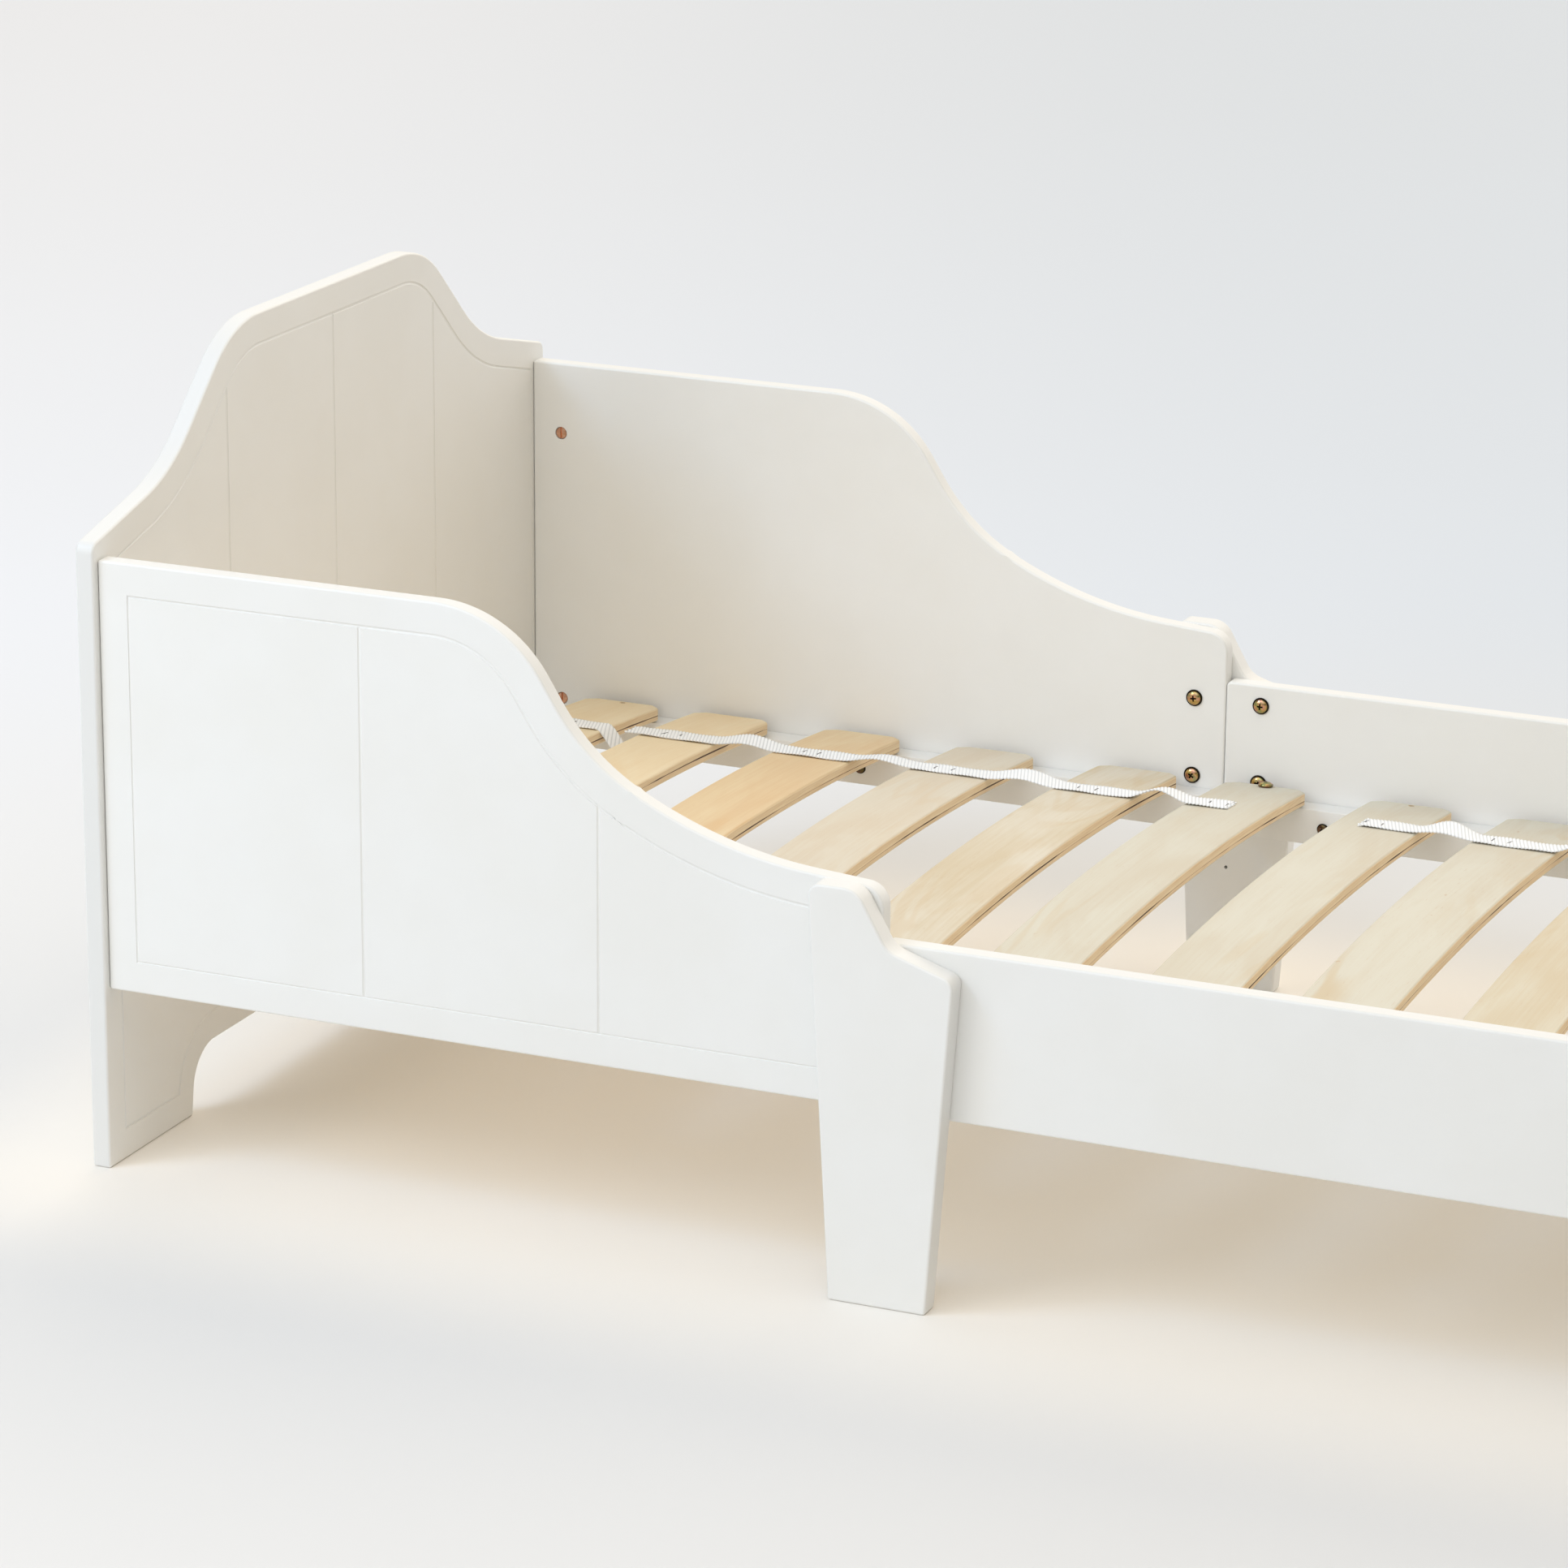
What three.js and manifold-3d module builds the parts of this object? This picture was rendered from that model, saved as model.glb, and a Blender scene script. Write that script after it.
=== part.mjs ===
// Toddler bed: a painted board frame with raised sides at the head, two tapered mid legs
// and two taped sets of bent slats. Millimetres, +Z up. The origin is on the floor under
// the middle of the bed, the head end is at -X and the two long sides face -Y and +Y.
import * as THREE from 'three';
import { mergeVertices } from 'three/addons/utils/BufferGeometryUtils.js';
import Module from 'manifold-3d';

const wasm = await Module();
wasm.setup();

// ---------- driving sizes ----------
const innerLength = 1425;        // headboard to footboard, inside
const outerWidth = 746;          // over the two side panels
const boardThickness = 15;       // end boards, side panels and foot rails
const legThickness = 19;
const fitGap = 0.3;              // clearance between pieces that touch
const edgeRound = 1.2;           // broken edge on every painted board
const arcTolerance = 0.2;        // how far a round may leave its true arc
const overcut = 1;               // cutters run this far past the face they open
const boreSpare = 1.6;           // a blind bore goes this far past the end of its screw

// end boards
const headboardHeight = 612;
const footboardAboveRail = 161;  // crown of the footboard, which has the same outline, above the rail
const endOverhang = 6;           // end boards stand this far past the side panels
const crownRise = 95;            // crown above the knee of the ogee
const crownRun = 101;            // knee to crown corner, across the bed
const shoulderRise = 29;         // knee above the outer corner
const shoulderRun = 119;         // outer corner to knee
const crownRadius = 100;
const kneeRadius = 150;
const cornerRadius = 9;
const footWidth = 128;           // width of each foot of an end board
const archHeight = 51.5;
const archLean = 7;              // the arch sides lean inwards by this much
const archRadius = 34;

// side panels, rails and mid legs
const panelLength = 628.5;       // headboard to the butt joint with the foot rail
const panelBelowShoulder = 12;   // panel top below the headboard's outer corner
const floorClearance = 142.5;    // under the side panels and rails
const railHeight = 126.5;
const panelStep = 39;            // low end of the side panel above the rail
const panelEndFall = 10;         // fall of the low run towards its rounded end
const panelCrownRadius = 102;
const panelHollowRadius = 165;
const panelRunRadius = 350;
const panelEndRadius = 17;
const panelCrownBack = 297;      // crown corner, hollow and low run, back from the joint
const panelHollowBack = 233;
const panelRunBack = 129.5;
const panelHollowShare = 0.61;   // share of the panel's fall reached at the hollow
const easedCorner = 2;           // upper corners that meet an end board
const railJointCorner = 4;       // upper corner of the rail at the butt joint
const legTopRise = 3.5;          // leg top above the low end of the side panel
const legHeadBack = 50.5;        // upper head side of the leg, back from the joint
const legFootBack = 31.5;        // floor end of the same side
const legFootAhead = 43.5;
const legShoulderAhead = 60.8;
const legCrownBack = 13;
const legKneeAhead = 11;
const legShoulderFall = 16;      // shoulder corner below the knee
const legCrownRadius = 18;
const legKneeRadius = 20;

// slats and what carries them
const ledgeTop = 176;
const ledgeHeight = 30;
const ledgeDepth = 20;
const ledgeEndGap = 10;          // ledge ends stay this far from a joint
const ledgeHeadGap = 40;         // and clear the lower barrel nut at the head
const slatsPerSet = 6;
const slatWidth = 69.5;
const slatThickness = 11.5;
const slatEndGap = 8;            // slat end to the inside of the side
const slatRise = 20;             // the bend of an unloaded slat
const slatCorner = 9;            // clipped corners of the slat, in plan
const slatBendSteps = 16;
const headMargin = 56;           // headboard to the first slat
const footMargin = 16.5;
const setGap = 54.5;             // between the two taped sets
const slatDrift = [[0, -14, -9, -5, 5, 0], [0, -1, 3, -4, 2, 0]];  // slack tape lets them wander
const tapeWidth = 25;
const tapeThickness = 1.2;
const tapeInset = 101;           // middle of the tape from the slat end
const tapeTail = 6;              // tape past the middle of the last slat
const tapeSag = 2.5;

// fasteners
const boltDiameter = 6;
const boltLength = 50;
const boltHead = { diameter: 16, height: 2.5, chamfer: 1.2, socket: 4.6, socketDepth: 3 };
const nut = { diameter: 10, length: 13, inset: 26, slotWidth: 1.6, slotDepth: 2 };
const headNutLow = 38.5;         // above the panel's bottom edge
const headNutHigh = 60.5;        // below the panel's top edge
const fixingLow = 43.5;          // leg and footboard fixings above the rail's bottom edge
const fixingHigh = 17;           // and below its top edge
const legScrew = { diameter: 6, length: 29, headDiameter: 14, headHeight: 3.4, flange: 0 };
const legScrewBack = 27;         // screws either side of the butt joint
const legScrewAhead = 30.5;
const slatScrew = { diameter: 4, length: 26, headDiameter: 12.5, headHeight: 3.2, flange: 0.5 };
const slatScrewInset = 7;        // from the slat end
const threadTip = { taper: 0.8, length: 1.5 };
const screwDome = { rim: 0.6, kneeRun: 0.42, kneeRise: 0.6, crownRun: 0.25 };  // rim in mm, then shares
const crossRecess = { slot: 1.2, reach: 0.42 };  // reach is a share of the head
const screwSegments = 12;
const nutSegments = 16;

// ---------- sizes that follow ----------
const headX = -innerLength / 2;
const innerWidth = outerWidth - 2 * boardThickness;
const jointX = headX + panelLength;
const railTop = floorClearance + railHeight;
const panelLow = railTop + panelStep;
const headShoulder = headboardHeight - crownRise - shoulderRise;
const panelTop = headShoulder - panelBelowShoulder;
const slatLength = innerWidth - 2 * slatEndGap;
const fixingHeights = [floorClearance + fixingLow, railTop - fixingHigh];
const headNutHeights = [floorClearance + headNutLow, panelTop - headNutHigh];
const slatPitch = (innerLength - headMargin - footMargin - setGap - 2 * slatWidth)
  / (2 * (slatsPerSet - 1));
const slatScrewY = slatLength / 2 - slatScrewInset;
const tapeY = slatLength / 2 - tapeInset;

// ---------- finishes ----------
const finish = {
  paint: { color: 0xf1f0ea, roughness: 0.45, metalness: 0 },
  birch: { color: 0xe6cfa0, roughness: 0.6, metalness: 0 },
  webbing: { color: 0xf4f3f0, roughness: 0.9, metalness: 0 },
  yellowZinc: { color: 0xb9a05c, roughness: 0.3, metalness: 1 },
  copperZinc: { color: 0xb4694a, roughness: 0.35, metalness: 1 },
};

// ---------- shape helpers ----------

// Closed outline from corners [x, y, radius]; a radius is limited by the sides it meets.
function filletedShape(corners) {
  const at = (i) => corners[(i + corners.length) % corners.length];
  const reach = corners.map((corner, i) => {
    const [x, y, radius = 0] = corner;
    const before = new THREE.Vector2(at(i - 1)[0] - x, at(i - 1)[1] - y);
    const after = new THREE.Vector2(at(i + 1)[0] - x, at(i + 1)[1] - y);
    const half = Math.acos(THREE.MathUtils.clamp(
      before.dot(after) / (before.length() * after.length()), -1, 1)) / 2;
    return { half, want: radius / Math.tan(half), before, after };
  });
  const share = (i, side) => {
    const other = reach[(i + side + corners.length) % corners.length];
    const length = side < 0 ? reach[i].before.length() : reach[i].after.length();
    const total = reach[i].want + other.want;
    return total > length ? reach[i].want * length * 0.98 / total : reach[i].want;
  };
  const points = [];
  corners.forEach(([x, y, radius = 0], i) => {
    const corner = new THREE.Vector2(x, y);
    if (!radius) {
      points.push(corner);
      return;
    }
    const tangent = Math.min(share(i, -1), share(i, 1));
    const realRadius = tangent * Math.tan(reach[i].half);
    const start = reach[i].before.clone().setLength(tangent).add(corner);
    const end = reach[i].after.clone().setLength(tangent).add(corner);
    const bisector = reach[i].before.clone().normalize().add(reach[i].after.clone().normalize());
    const centre = bisector.setLength(realRadius / Math.sin(reach[i].half)).add(corner);
    const from = start.clone().sub(centre).angle();
    let turn = end.clone().sub(centre).angle() - from;
    turn = THREE.MathUtils.euclideanModulo(turn + Math.PI, 2 * Math.PI) - Math.PI;
    const step = 2 * Math.acos(Math.max(1 - arcTolerance / realRadius, 0));
    const count = Math.max(2, Math.ceil(Math.abs(turn) / step));
    for (let k = 0; k <= count; k += 1) {
      const angle = from + turn * k / count;
      points.push(new THREE.Vector2(Math.cos(angle), Math.sin(angle))
        .multiplyScalar(realRadius).add(centre));
    }
  });
  return new THREE.Shape(points);
}

// A flat board centred on its own thickness, with broken edges.
function boardGeometry(shape, thickness) {
  const geometry = new THREE.ExtrudeGeometry(shape, {
    depth: thickness - 2 * edgeRound,
    bevelEnabled: true,
    bevelThickness: edgeRound,
    bevelSize: edgeRound,
    bevelOffset: -edgeRound,
    bevelSegments: 1,
  });
  geometry.translate(0, 0, edgeRound - thickness / 2);
  return geometry;
}

// Shape drawn in X and Z, thickness along Y.
function standAlong(geometry) {
  return geometry.rotateX(Math.PI / 2);
}

// Shape drawn in Y and Z, thickness along X.
function standAcross(geometry) {
  const axes = [[0, 1, 0], [0, 0, 1], [1, 0, 0]].map((axis) => new THREE.Vector3(...axis));
  return geometry.applyMatrix4(new THREE.Matrix4().makeBasis(...axes));
}

// Cylinder from one point along a direction.
function rod(diameter, length, from, direction, segments = screwSegments) {
  const geometry = new THREE.CylinderGeometry(diameter / 2, diameter / 2, length, segments);
  const turn = new THREE.Quaternion().setFromUnitVectors(new THREE.Vector3(0, 1, 0), direction);
  geometry.translate(0, length / 2, 0);
  geometry.applyQuaternion(turn);
  return geometry.translate(from.x, from.y, from.z);
}

function toSolid(geometry) {
  const bare = geometry.clone();
  bare.deleteAttribute('normal');
  bare.deleteAttribute('uv');
  const merged = mergeVertices(bare, 1e-3);
  return new wasm.Manifold(new wasm.Mesh({
    numProp: 3,
    vertProperties: new Float32Array(merged.attributes.position.array),
    triVerts: new Uint32Array(merged.index.array),
  }));
}

function toGeometry(solid) {
  const mesh = solid.getMesh();
  const geometry = new THREE.BufferGeometry();
  geometry.setAttribute('position', new THREE.BufferAttribute(mesh.vertProperties, 3));
  geometry.setIndex(new THREE.BufferAttribute(mesh.triVerts, 1));
  geometry.computeVertexNormals();
  return geometry;
}

function cut(geometry, tools) {
  let solid = toSolid(geometry);
  tools.forEach((tool) => {
    solid = solid.subtract(toSolid(tool));
  });
  return toGeometry(solid);
}

const alongX = new THREE.Vector3(1, 0, 0);
const alongZ = new THREE.Vector3(0, 0, 1);
const bed = new THREE.Group();

function place(name, geometry, look, x, y, z) {
  const mesh = new THREE.Mesh(geometry, new THREE.MeshStandardMaterial(finish[look]));
  mesh.name = name;
  mesh.position.set(x, y, z);
  bed.add(mesh);
  return mesh;
}

const sides = [
  { name: 'front', sign: -1 },
  { name: 'back', sign: 1 },
];
const panelY = outerWidth / 2 - boardThickness / 2;

// ---------- end boards ----------
function endBoardGeometry(height, boltHeights) {
  const half = outerWidth / 2 + endOverhang;
  const kneeY = half - shoulderRun;
  const crownY = kneeY - crownRun;
  const archY = half - footWidth - archLean;
  const knee = height - crownRise;
  const shoulder = knee - shoulderRise;
  const right = [
    [half - footWidth, 0], [half, 0], [half, shoulder, cornerRadius],
    [kneeY, knee, kneeRadius], [crownY, height, crownRadius],
  ];
  const left = right.map(([y, z, radius]) => [-y, z, radius]).reverse();
  const arch = [[-archY, archHeight, archRadius], [archY, archHeight, archRadius]];
  const board = standAcross(boardGeometry(
    filletedShape([...arch, ...right, ...left]), boardThickness));
  const bores = boltHeights.flatMap((z) => sides.map(({ sign }) => rod(
    boltDiameter + 2 * fitGap, 2 * boardThickness,
    new THREE.Vector3(-boardThickness, sign * panelY, z), alongX)));
  return cut(board, bores);
}

const endX = innerLength / 2 + boardThickness / 2;
place('headboard', endBoardGeometry(headboardHeight, headNutHeights), 'paint', -endX, 0, 0);
place('footboard', endBoardGeometry(railTop + footboardAboveRail, fixingHeights),
  'paint', endX, 0, 0);

// ---------- side panels, foot rails and mid legs ----------

// Bores of a knock-down joint at the end of a board; way is +1 where the board runs to +X.
function knockDownBores(sign, endPlane, way, heights) {
  const boltDepth = boltLength - boardThickness - 2 * fitGap + boreSpare;
  const direction = alongX.clone().multiplyScalar(way);
  const inward = new THREE.Vector3(0, -sign, 0);
  const innerFace = sign * boardThickness / -2;
  return heights.flatMap((z) => [
    rod(boltDiameter + 2 * fitGap, boltDepth + overcut,
      new THREE.Vector3(endPlane - way * overcut, 0, z), direction),
    rod(nut.diameter + 2 * fitGap, nut.length + overcut + fitGap,
      new THREE.Vector3(endPlane + way * nut.inset, innerFace + overcut * inward.y, z),
      inward.clone().negate(), nutSegments),
  ]);
}

function throughBores(xs, heights, diameter) {
  return xs.flatMap((x) => heights.map((z) => rod(diameter, 2 * boardThickness,
    new THREE.Vector3(x, -boardThickness, z), new THREE.Vector3(0, 1, 0))));
}

function sidePanelGeometry(sign) {
  const fall = panelTop - panelLow;
  const hollow = panelTop - fall * panelHollowShare;
  const outline = filletedShape([
    [fitGap, floorClearance], [panelLength, floorClearance],
    [panelLength, panelLow, panelEndRadius],
    [panelLength - panelRunBack, panelLow + panelEndFall, panelRunRadius],
    [panelLength - panelHollowBack, hollow, panelHollowRadius],
    [panelLength - panelCrownBack, panelTop, panelCrownRadius],
    [fitGap, panelTop, easedCorner],
  ]);
  return cut(standAlong(boardGeometry(outline, boardThickness)), [
    ...knockDownBores(sign, fitGap, 1, headNutHeights),
    ...throughBores([panelLength - legScrewBack], fixingHeights, legScrew.diameter + 2 * fitGap),
  ]);
}

function footRailGeometry(sign) {
  const start = panelLength + fitGap;
  const end = innerLength - fitGap;
  const outline = filletedShape([
    [start, floorClearance], [end, floorClearance],
    [end, railTop, easedCorner], [start, railTop, railJointCorner],
  ]);
  return cut(standAlong(boardGeometry(outline, boardThickness)), [
    ...knockDownBores(sign, end, -1, fixingHeights),
    ...throughBores([panelLength + legScrewAhead], fixingHeights, legScrew.diameter + 2 * fitGap),
  ]);
}

function midLegGeometry(sign) {
  const top = panelLow + legTopRise;
  const outline = filletedShape([
    [-legFootBack, 0], [legFootAhead, 0],
    [legShoulderAhead, railTop - legShoulderFall, cornerRadius],
    [legKneeAhead, railTop, legKneeRadius],
    [-legCrownBack, top, legCrownRadius],
    [-legHeadBack, top, cornerRadius],
  ]);
  const depth = legScrew.length - boardThickness - 2 * fitGap + boreSpare + overcut;
  const bores = [-legScrewBack, legScrewAhead].flatMap((x) => fixingHeights.map((z) => rod(
    legScrew.diameter + 2 * fitGap, depth,
    new THREE.Vector3(x, -sign * (legThickness / 2 + overcut), z), new THREE.Vector3(0, sign, 0))));
  return cut(standAlong(boardGeometry(outline, legThickness)), bores);
}

const legY = outerWidth / 2 + fitGap + legThickness / 2;
sides.forEach(({ name, sign }) => {
  place(`side_panel_${name}`, sidePanelGeometry(sign), 'paint', headX, sign * panelY, 0);
  place(`foot_rail_${name}`, footRailGeometry(sign), 'paint', headX, sign * panelY, 0);
  place(`mid_leg_${name}`, midLegGeometry(sign), 'paint', jointX, sign * legY, 0);
});

// ---------- ledges ----------
const slatMiddles = [0, 1].map((set) => slatDrift[set].map((drift, i) => headX + headMargin
  + slatWidth / 2 + set * ((slatsPerSet - 1) * slatPitch + slatWidth + setGap)
  + i * slatPitch + drift));
const screwedSlats = slatMiddles.map((middles) => middles[slatsPerSet - 1]);
const ledgeY = innerWidth / 2 - fitGap - ledgeDepth / 2;

function ledgeGeometry(start, end, sign) {
  const outline = filletedShape([
    [start, ledgeTop - ledgeHeight], [end, ledgeTop - ledgeHeight],
    [end, ledgeTop], [start, ledgeTop],
  ]);
  const bores = screwedSlats.filter((x) => x > start && x < end).map((x) => rod(
    slatScrew.diameter + 2 * fitGap, slatScrew.length,
    new THREE.Vector3(x, sign * (slatScrewY - ledgeY), ledgeTop + overcut),
    alongZ.clone().negate()));
  return cut(standAlong(boardGeometry(outline, ledgeDepth)), bores);
}

sides.forEach(({ name, sign }) => {
  const y = sign * ledgeY;
  place(`slat_ledge_head_${name}`,
    ledgeGeometry(headX + ledgeHeadGap, jointX - ledgeEndGap, sign), 'paint', 0, y, 0);
  place(`slat_ledge_foot_${name}`,
    ledgeGeometry(jointX + ledgeEndGap, -headX - ledgeEndGap, sign), 'paint', 0, y, 0);
});

// ---------- slats ----------
const slatBase = ledgeTop + fitGap;
const slatTopAt = (y) => slatBase + slatThickness + slatRise * (1 - (2 * y / slatLength) ** 2);
const slatSlopeAt = (y) => -8 * slatRise * y / slatLength ** 2;

// Bent slat about its own middle, lying across the bed, with clipped plan corners.
function slatGeometry(bored) {
  const upper = [];
  for (let k = 0; k <= slatBendSteps; k += 1) {
    const y = slatLength * (k / slatBendSteps - 0.5);
    upper.push(new THREE.Vector2(y, slatTopAt(y)));
  }
  const lower = upper.map((point) => new THREE.Vector2(point.x, point.y - slatThickness));
  const bent = standAcross(new THREE.ExtrudeGeometry(
    new THREE.Shape([...lower, ...upper.reverse()]), { depth: slatWidth, bevelEnabled: false }));
  bent.translate(-slatWidth / 2, 0, 0);
  const halfX = slatWidth / 2 + fitGap;
  const halfY = slatLength / 2 + fitGap;
  const quarter = [[halfX, halfY - slatCorner], [halfX - slatCorner, halfY]];
  const plan = [
    ...quarter, ...quarter.map(([x, y]) => [-x, y]).reverse(),
    ...quarter.map(([x, y]) => [-x, -y]), ...quarter.map(([x, y]) => [x, -y]).reverse(),
  ];
  const height = slatRise + slatThickness + 2 * overcut;
  const block = new THREE.ExtrudeGeometry(filletedShape(plan),
    { depth: height, bevelEnabled: false }).translate(0, 0, slatBase - overcut);
  let solid = toSolid(bent).intersect(toSolid(block));
  if (bored) {
    sides.forEach(({ sign }) => {
      solid = solid.subtract(toSolid(rod(slatScrew.diameter + 2 * fitGap, height,
        new THREE.Vector3(0, sign * slatScrewY, slatBase - overcut), alongZ)));
    });
  }
  return toGeometry(solid);
}

slatMiddles.forEach((middles, set) => middles.forEach((x, i) => {
  const number = String(set * slatsPerSet + i + 1).padStart(2, '0');
  const endOfSet = i === 0 || i === slatsPerSet - 1;
  place(`slat_${number}`, slatGeometry(endOfSet), 'birch', x, 0, 0);
}));

// ---------- webbing tapes ----------

// Ribbon over one set of slats; it follows the slope of the slats across its width.
function tapeGeometry(middles) {
  const start = middles[0] - tapeTail;
  const end = middles[slatsPerSet - 1] + tapeTail;
  const under = [new THREE.Vector2(start, 0)];
  middles.slice(1).forEach((x, i) => {
    const from = middles[i] + slatWidth / 2;
    const to = x - slatWidth / 2;
    under.push(new THREE.Vector2(from, 0));
    under.push(new THREE.Vector2((from + to) / 2, -tapeSag));
    under.push(new THREE.Vector2(to, 0));
  });
  under.push(new THREE.Vector2(end, 0));
  const over = under.map((point) => new THREE.Vector2(point.x, point.y + tapeThickness));
  const ribbon = new THREE.ExtrudeGeometry(new THREE.Shape([...under, ...over.reverse()]),
    { depth: tapeWidth, bevelEnabled: false });
  return standAlong(ribbon.translate(0, 0, -tapeWidth / 2));
}

slatMiddles.forEach((middles, set) => sides.forEach(({ name, sign }) => {
  const y = sign * tapeY;
  const tape = place(`webbing_tape_${set === 0 ? 'head' : 'foot'}_${name}`,
    tapeGeometry(middles), 'webbing', 0, y, slatTopAt(y) + fitGap);
  tape.rotation.x = Math.atan(slatSlopeAt(y));
}));

// ---------- fasteners ----------

// Turned piece about Z: a domed head above z = 0 and a shank below it, with a cross recess.
function screwGeometry({ diameter, length, headDiameter, headHeight, flange }) {
  const { rim, kneeRun, kneeRise, crownRun } = screwDome;
  const profile = [
    [0, -length], [diameter / 2 - threadTip.taper, -length],
    [diameter / 2, threadTip.length - length], [diameter / 2, 0],
    [headDiameter / 2, 0], [headDiameter / 2, flange + rim],
    [headDiameter * kneeRun - flange, headHeight * kneeRise + flange / 2],
    [headDiameter * crownRun, headHeight], [0, headHeight],
  ].map(([r, z]) => new THREE.Vector2(r, z));
  const turned = new THREE.LatheGeometry(profile, screwSegments).rotateX(Math.PI / 2);
  const recess = [0, Math.PI / 2].map((turn) => new THREE.BoxGeometry(
    headDiameter * crossRecess.reach, crossRecess.slot, headHeight)
    .rotateZ(turn).translate(0, 0, headHeight));
  return cut(turned, recess);
}

// Turned bolt about Z: a flat head above z = 0 with a hexagon socket.
function boltGeometry() {
  const radius = boltHead.diameter / 2;
  const profile = [
    [0, -boltLength], [boltDiameter / 2 - threadTip.taper, -boltLength],
    [boltDiameter / 2, threadTip.length - boltLength], [boltDiameter / 2, 0], [radius, 0],
    [radius, boltHead.height / 2], [radius - boltHead.chamfer, boltHead.height],
    [0, boltHead.height],
  ].map(([r, z]) => new THREE.Vector2(r, z));
  const turned = new THREE.LatheGeometry(profile, screwSegments).rotateX(Math.PI / 2);
  const hexagon = 6;
  return cut(turned, [rod(boltHead.socket, boltHead.socketDepth + overcut,
    new THREE.Vector3(0, 0, boltHead.height - boltHead.socketDepth), alongZ, hexagon)]);
}

// Barrel nut about Z, its slotted end up, with the cross hole on the board's middle plane.
function barrelNutGeometry() {
  const holeDepth = boardThickness / 2 - fitGap;
  const barrel = rod(nut.diameter, nut.length,
    new THREE.Vector3(0, 0, -nut.length), alongZ, nutSegments);
  return cut(barrel, [
    rod(boltDiameter + 2 * fitGap, 2 * nut.diameter,
      new THREE.Vector3(-nut.diameter, 0, -holeDepth), alongX),
    new THREE.BoxGeometry(2 * nut.diameter, nut.slotWidth, 2 * nut.slotDepth),
  ]);
}

function aim(mesh, x, y, z) {
  mesh.quaternion.setFromUnitVectors(alongZ, new THREE.Vector3(x, y, z));
}

const knockDownJoints = [
  { end: 'head', way: -1, heights: headNutHeights },
  { end: 'foot', way: 1, heights: fixingHeights },
];
const levels = ['lower', 'upper'];

knockDownJoints.forEach(({ end, way, heights }) => {
  const outerFace = way * (innerLength / 2 + boardThickness + fitGap);
  const nutX = way * (innerLength / 2 - fitGap - nut.inset);
  sides.forEach(({ name, sign }) => heights.forEach((z, level) => {
    const tag = `${end}_${name}_${levels[level]}`;
    aim(place(`connector_bolt_${tag}`, boltGeometry(), 'yellowZinc',
      outerFace, sign * panelY, z), way, 0, 0);
    aim(place(`barrel_nut_${tag}`, barrelNutGeometry(), 'copperZinc',
      nutX, sign * (innerWidth / 2 + fitGap), z), 0, -sign, 0);
  }));
});

sides.forEach(({ name, sign }) => {
  const spots = [['panel', -legScrewBack], ['rail', legScrewAhead]];
  spots.forEach(([board, ahead]) => fixingHeights.forEach((z, level) => {
    aim(place(`leg_screw_${board}_${name}_${levels[level]}`, screwGeometry(legScrew),
      'yellowZinc', jointX + ahead, sign * (innerWidth / 2 - fitGap), z), 0, -sign, 0);
  }));
});

screwedSlats.forEach((x, set) => sides.forEach(({ name, sign }) => {
  const number = (set + 1) * slatsPerSet;
  const lift = Math.abs(slatSlopeAt(slatScrewY)) * slatScrew.headDiameter / 2 + fitGap;
  place(`slat_screw_${String(number).padStart(2, '0')}_${name}`, screwGeometry(slatScrew),
    'yellowZinc', x, sign * slatScrewY, slatTopAt(slatScrewY) + lift);
}));

export default bed;
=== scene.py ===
import math
import random

import bmesh
import bpy
from mathutils import Matrix, Quaternion, Vector


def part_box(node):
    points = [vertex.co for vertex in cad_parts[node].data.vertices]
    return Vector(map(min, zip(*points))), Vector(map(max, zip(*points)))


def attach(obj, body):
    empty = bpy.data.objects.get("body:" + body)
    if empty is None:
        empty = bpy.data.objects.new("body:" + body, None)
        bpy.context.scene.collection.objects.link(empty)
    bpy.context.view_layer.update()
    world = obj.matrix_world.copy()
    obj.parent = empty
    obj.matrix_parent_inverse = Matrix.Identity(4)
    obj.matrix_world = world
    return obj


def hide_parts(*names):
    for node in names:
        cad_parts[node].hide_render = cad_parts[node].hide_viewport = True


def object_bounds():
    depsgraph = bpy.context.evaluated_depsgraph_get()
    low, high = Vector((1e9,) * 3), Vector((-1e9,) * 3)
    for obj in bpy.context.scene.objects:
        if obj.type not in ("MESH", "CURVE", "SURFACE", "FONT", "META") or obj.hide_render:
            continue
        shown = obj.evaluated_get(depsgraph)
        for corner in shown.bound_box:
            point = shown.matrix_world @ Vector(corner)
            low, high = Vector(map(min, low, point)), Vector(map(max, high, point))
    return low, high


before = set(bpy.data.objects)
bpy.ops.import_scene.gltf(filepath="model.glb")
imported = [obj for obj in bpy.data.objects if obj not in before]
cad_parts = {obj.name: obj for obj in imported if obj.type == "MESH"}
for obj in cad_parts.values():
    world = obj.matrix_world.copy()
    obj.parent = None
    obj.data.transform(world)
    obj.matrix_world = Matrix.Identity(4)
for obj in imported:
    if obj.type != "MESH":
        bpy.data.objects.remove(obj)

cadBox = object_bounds()
mm = 0.001


# camera and lights
view = {                      # metres, degrees and millimetres of lens
    "place": (1.3416, -3.8448, 1.5384),
    "azimuth": 23.40,
    "elevation": 17.09,
    "roll": 0.45,
    "lens": 129.26,
    "sensor": 36.0,
}
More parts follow.
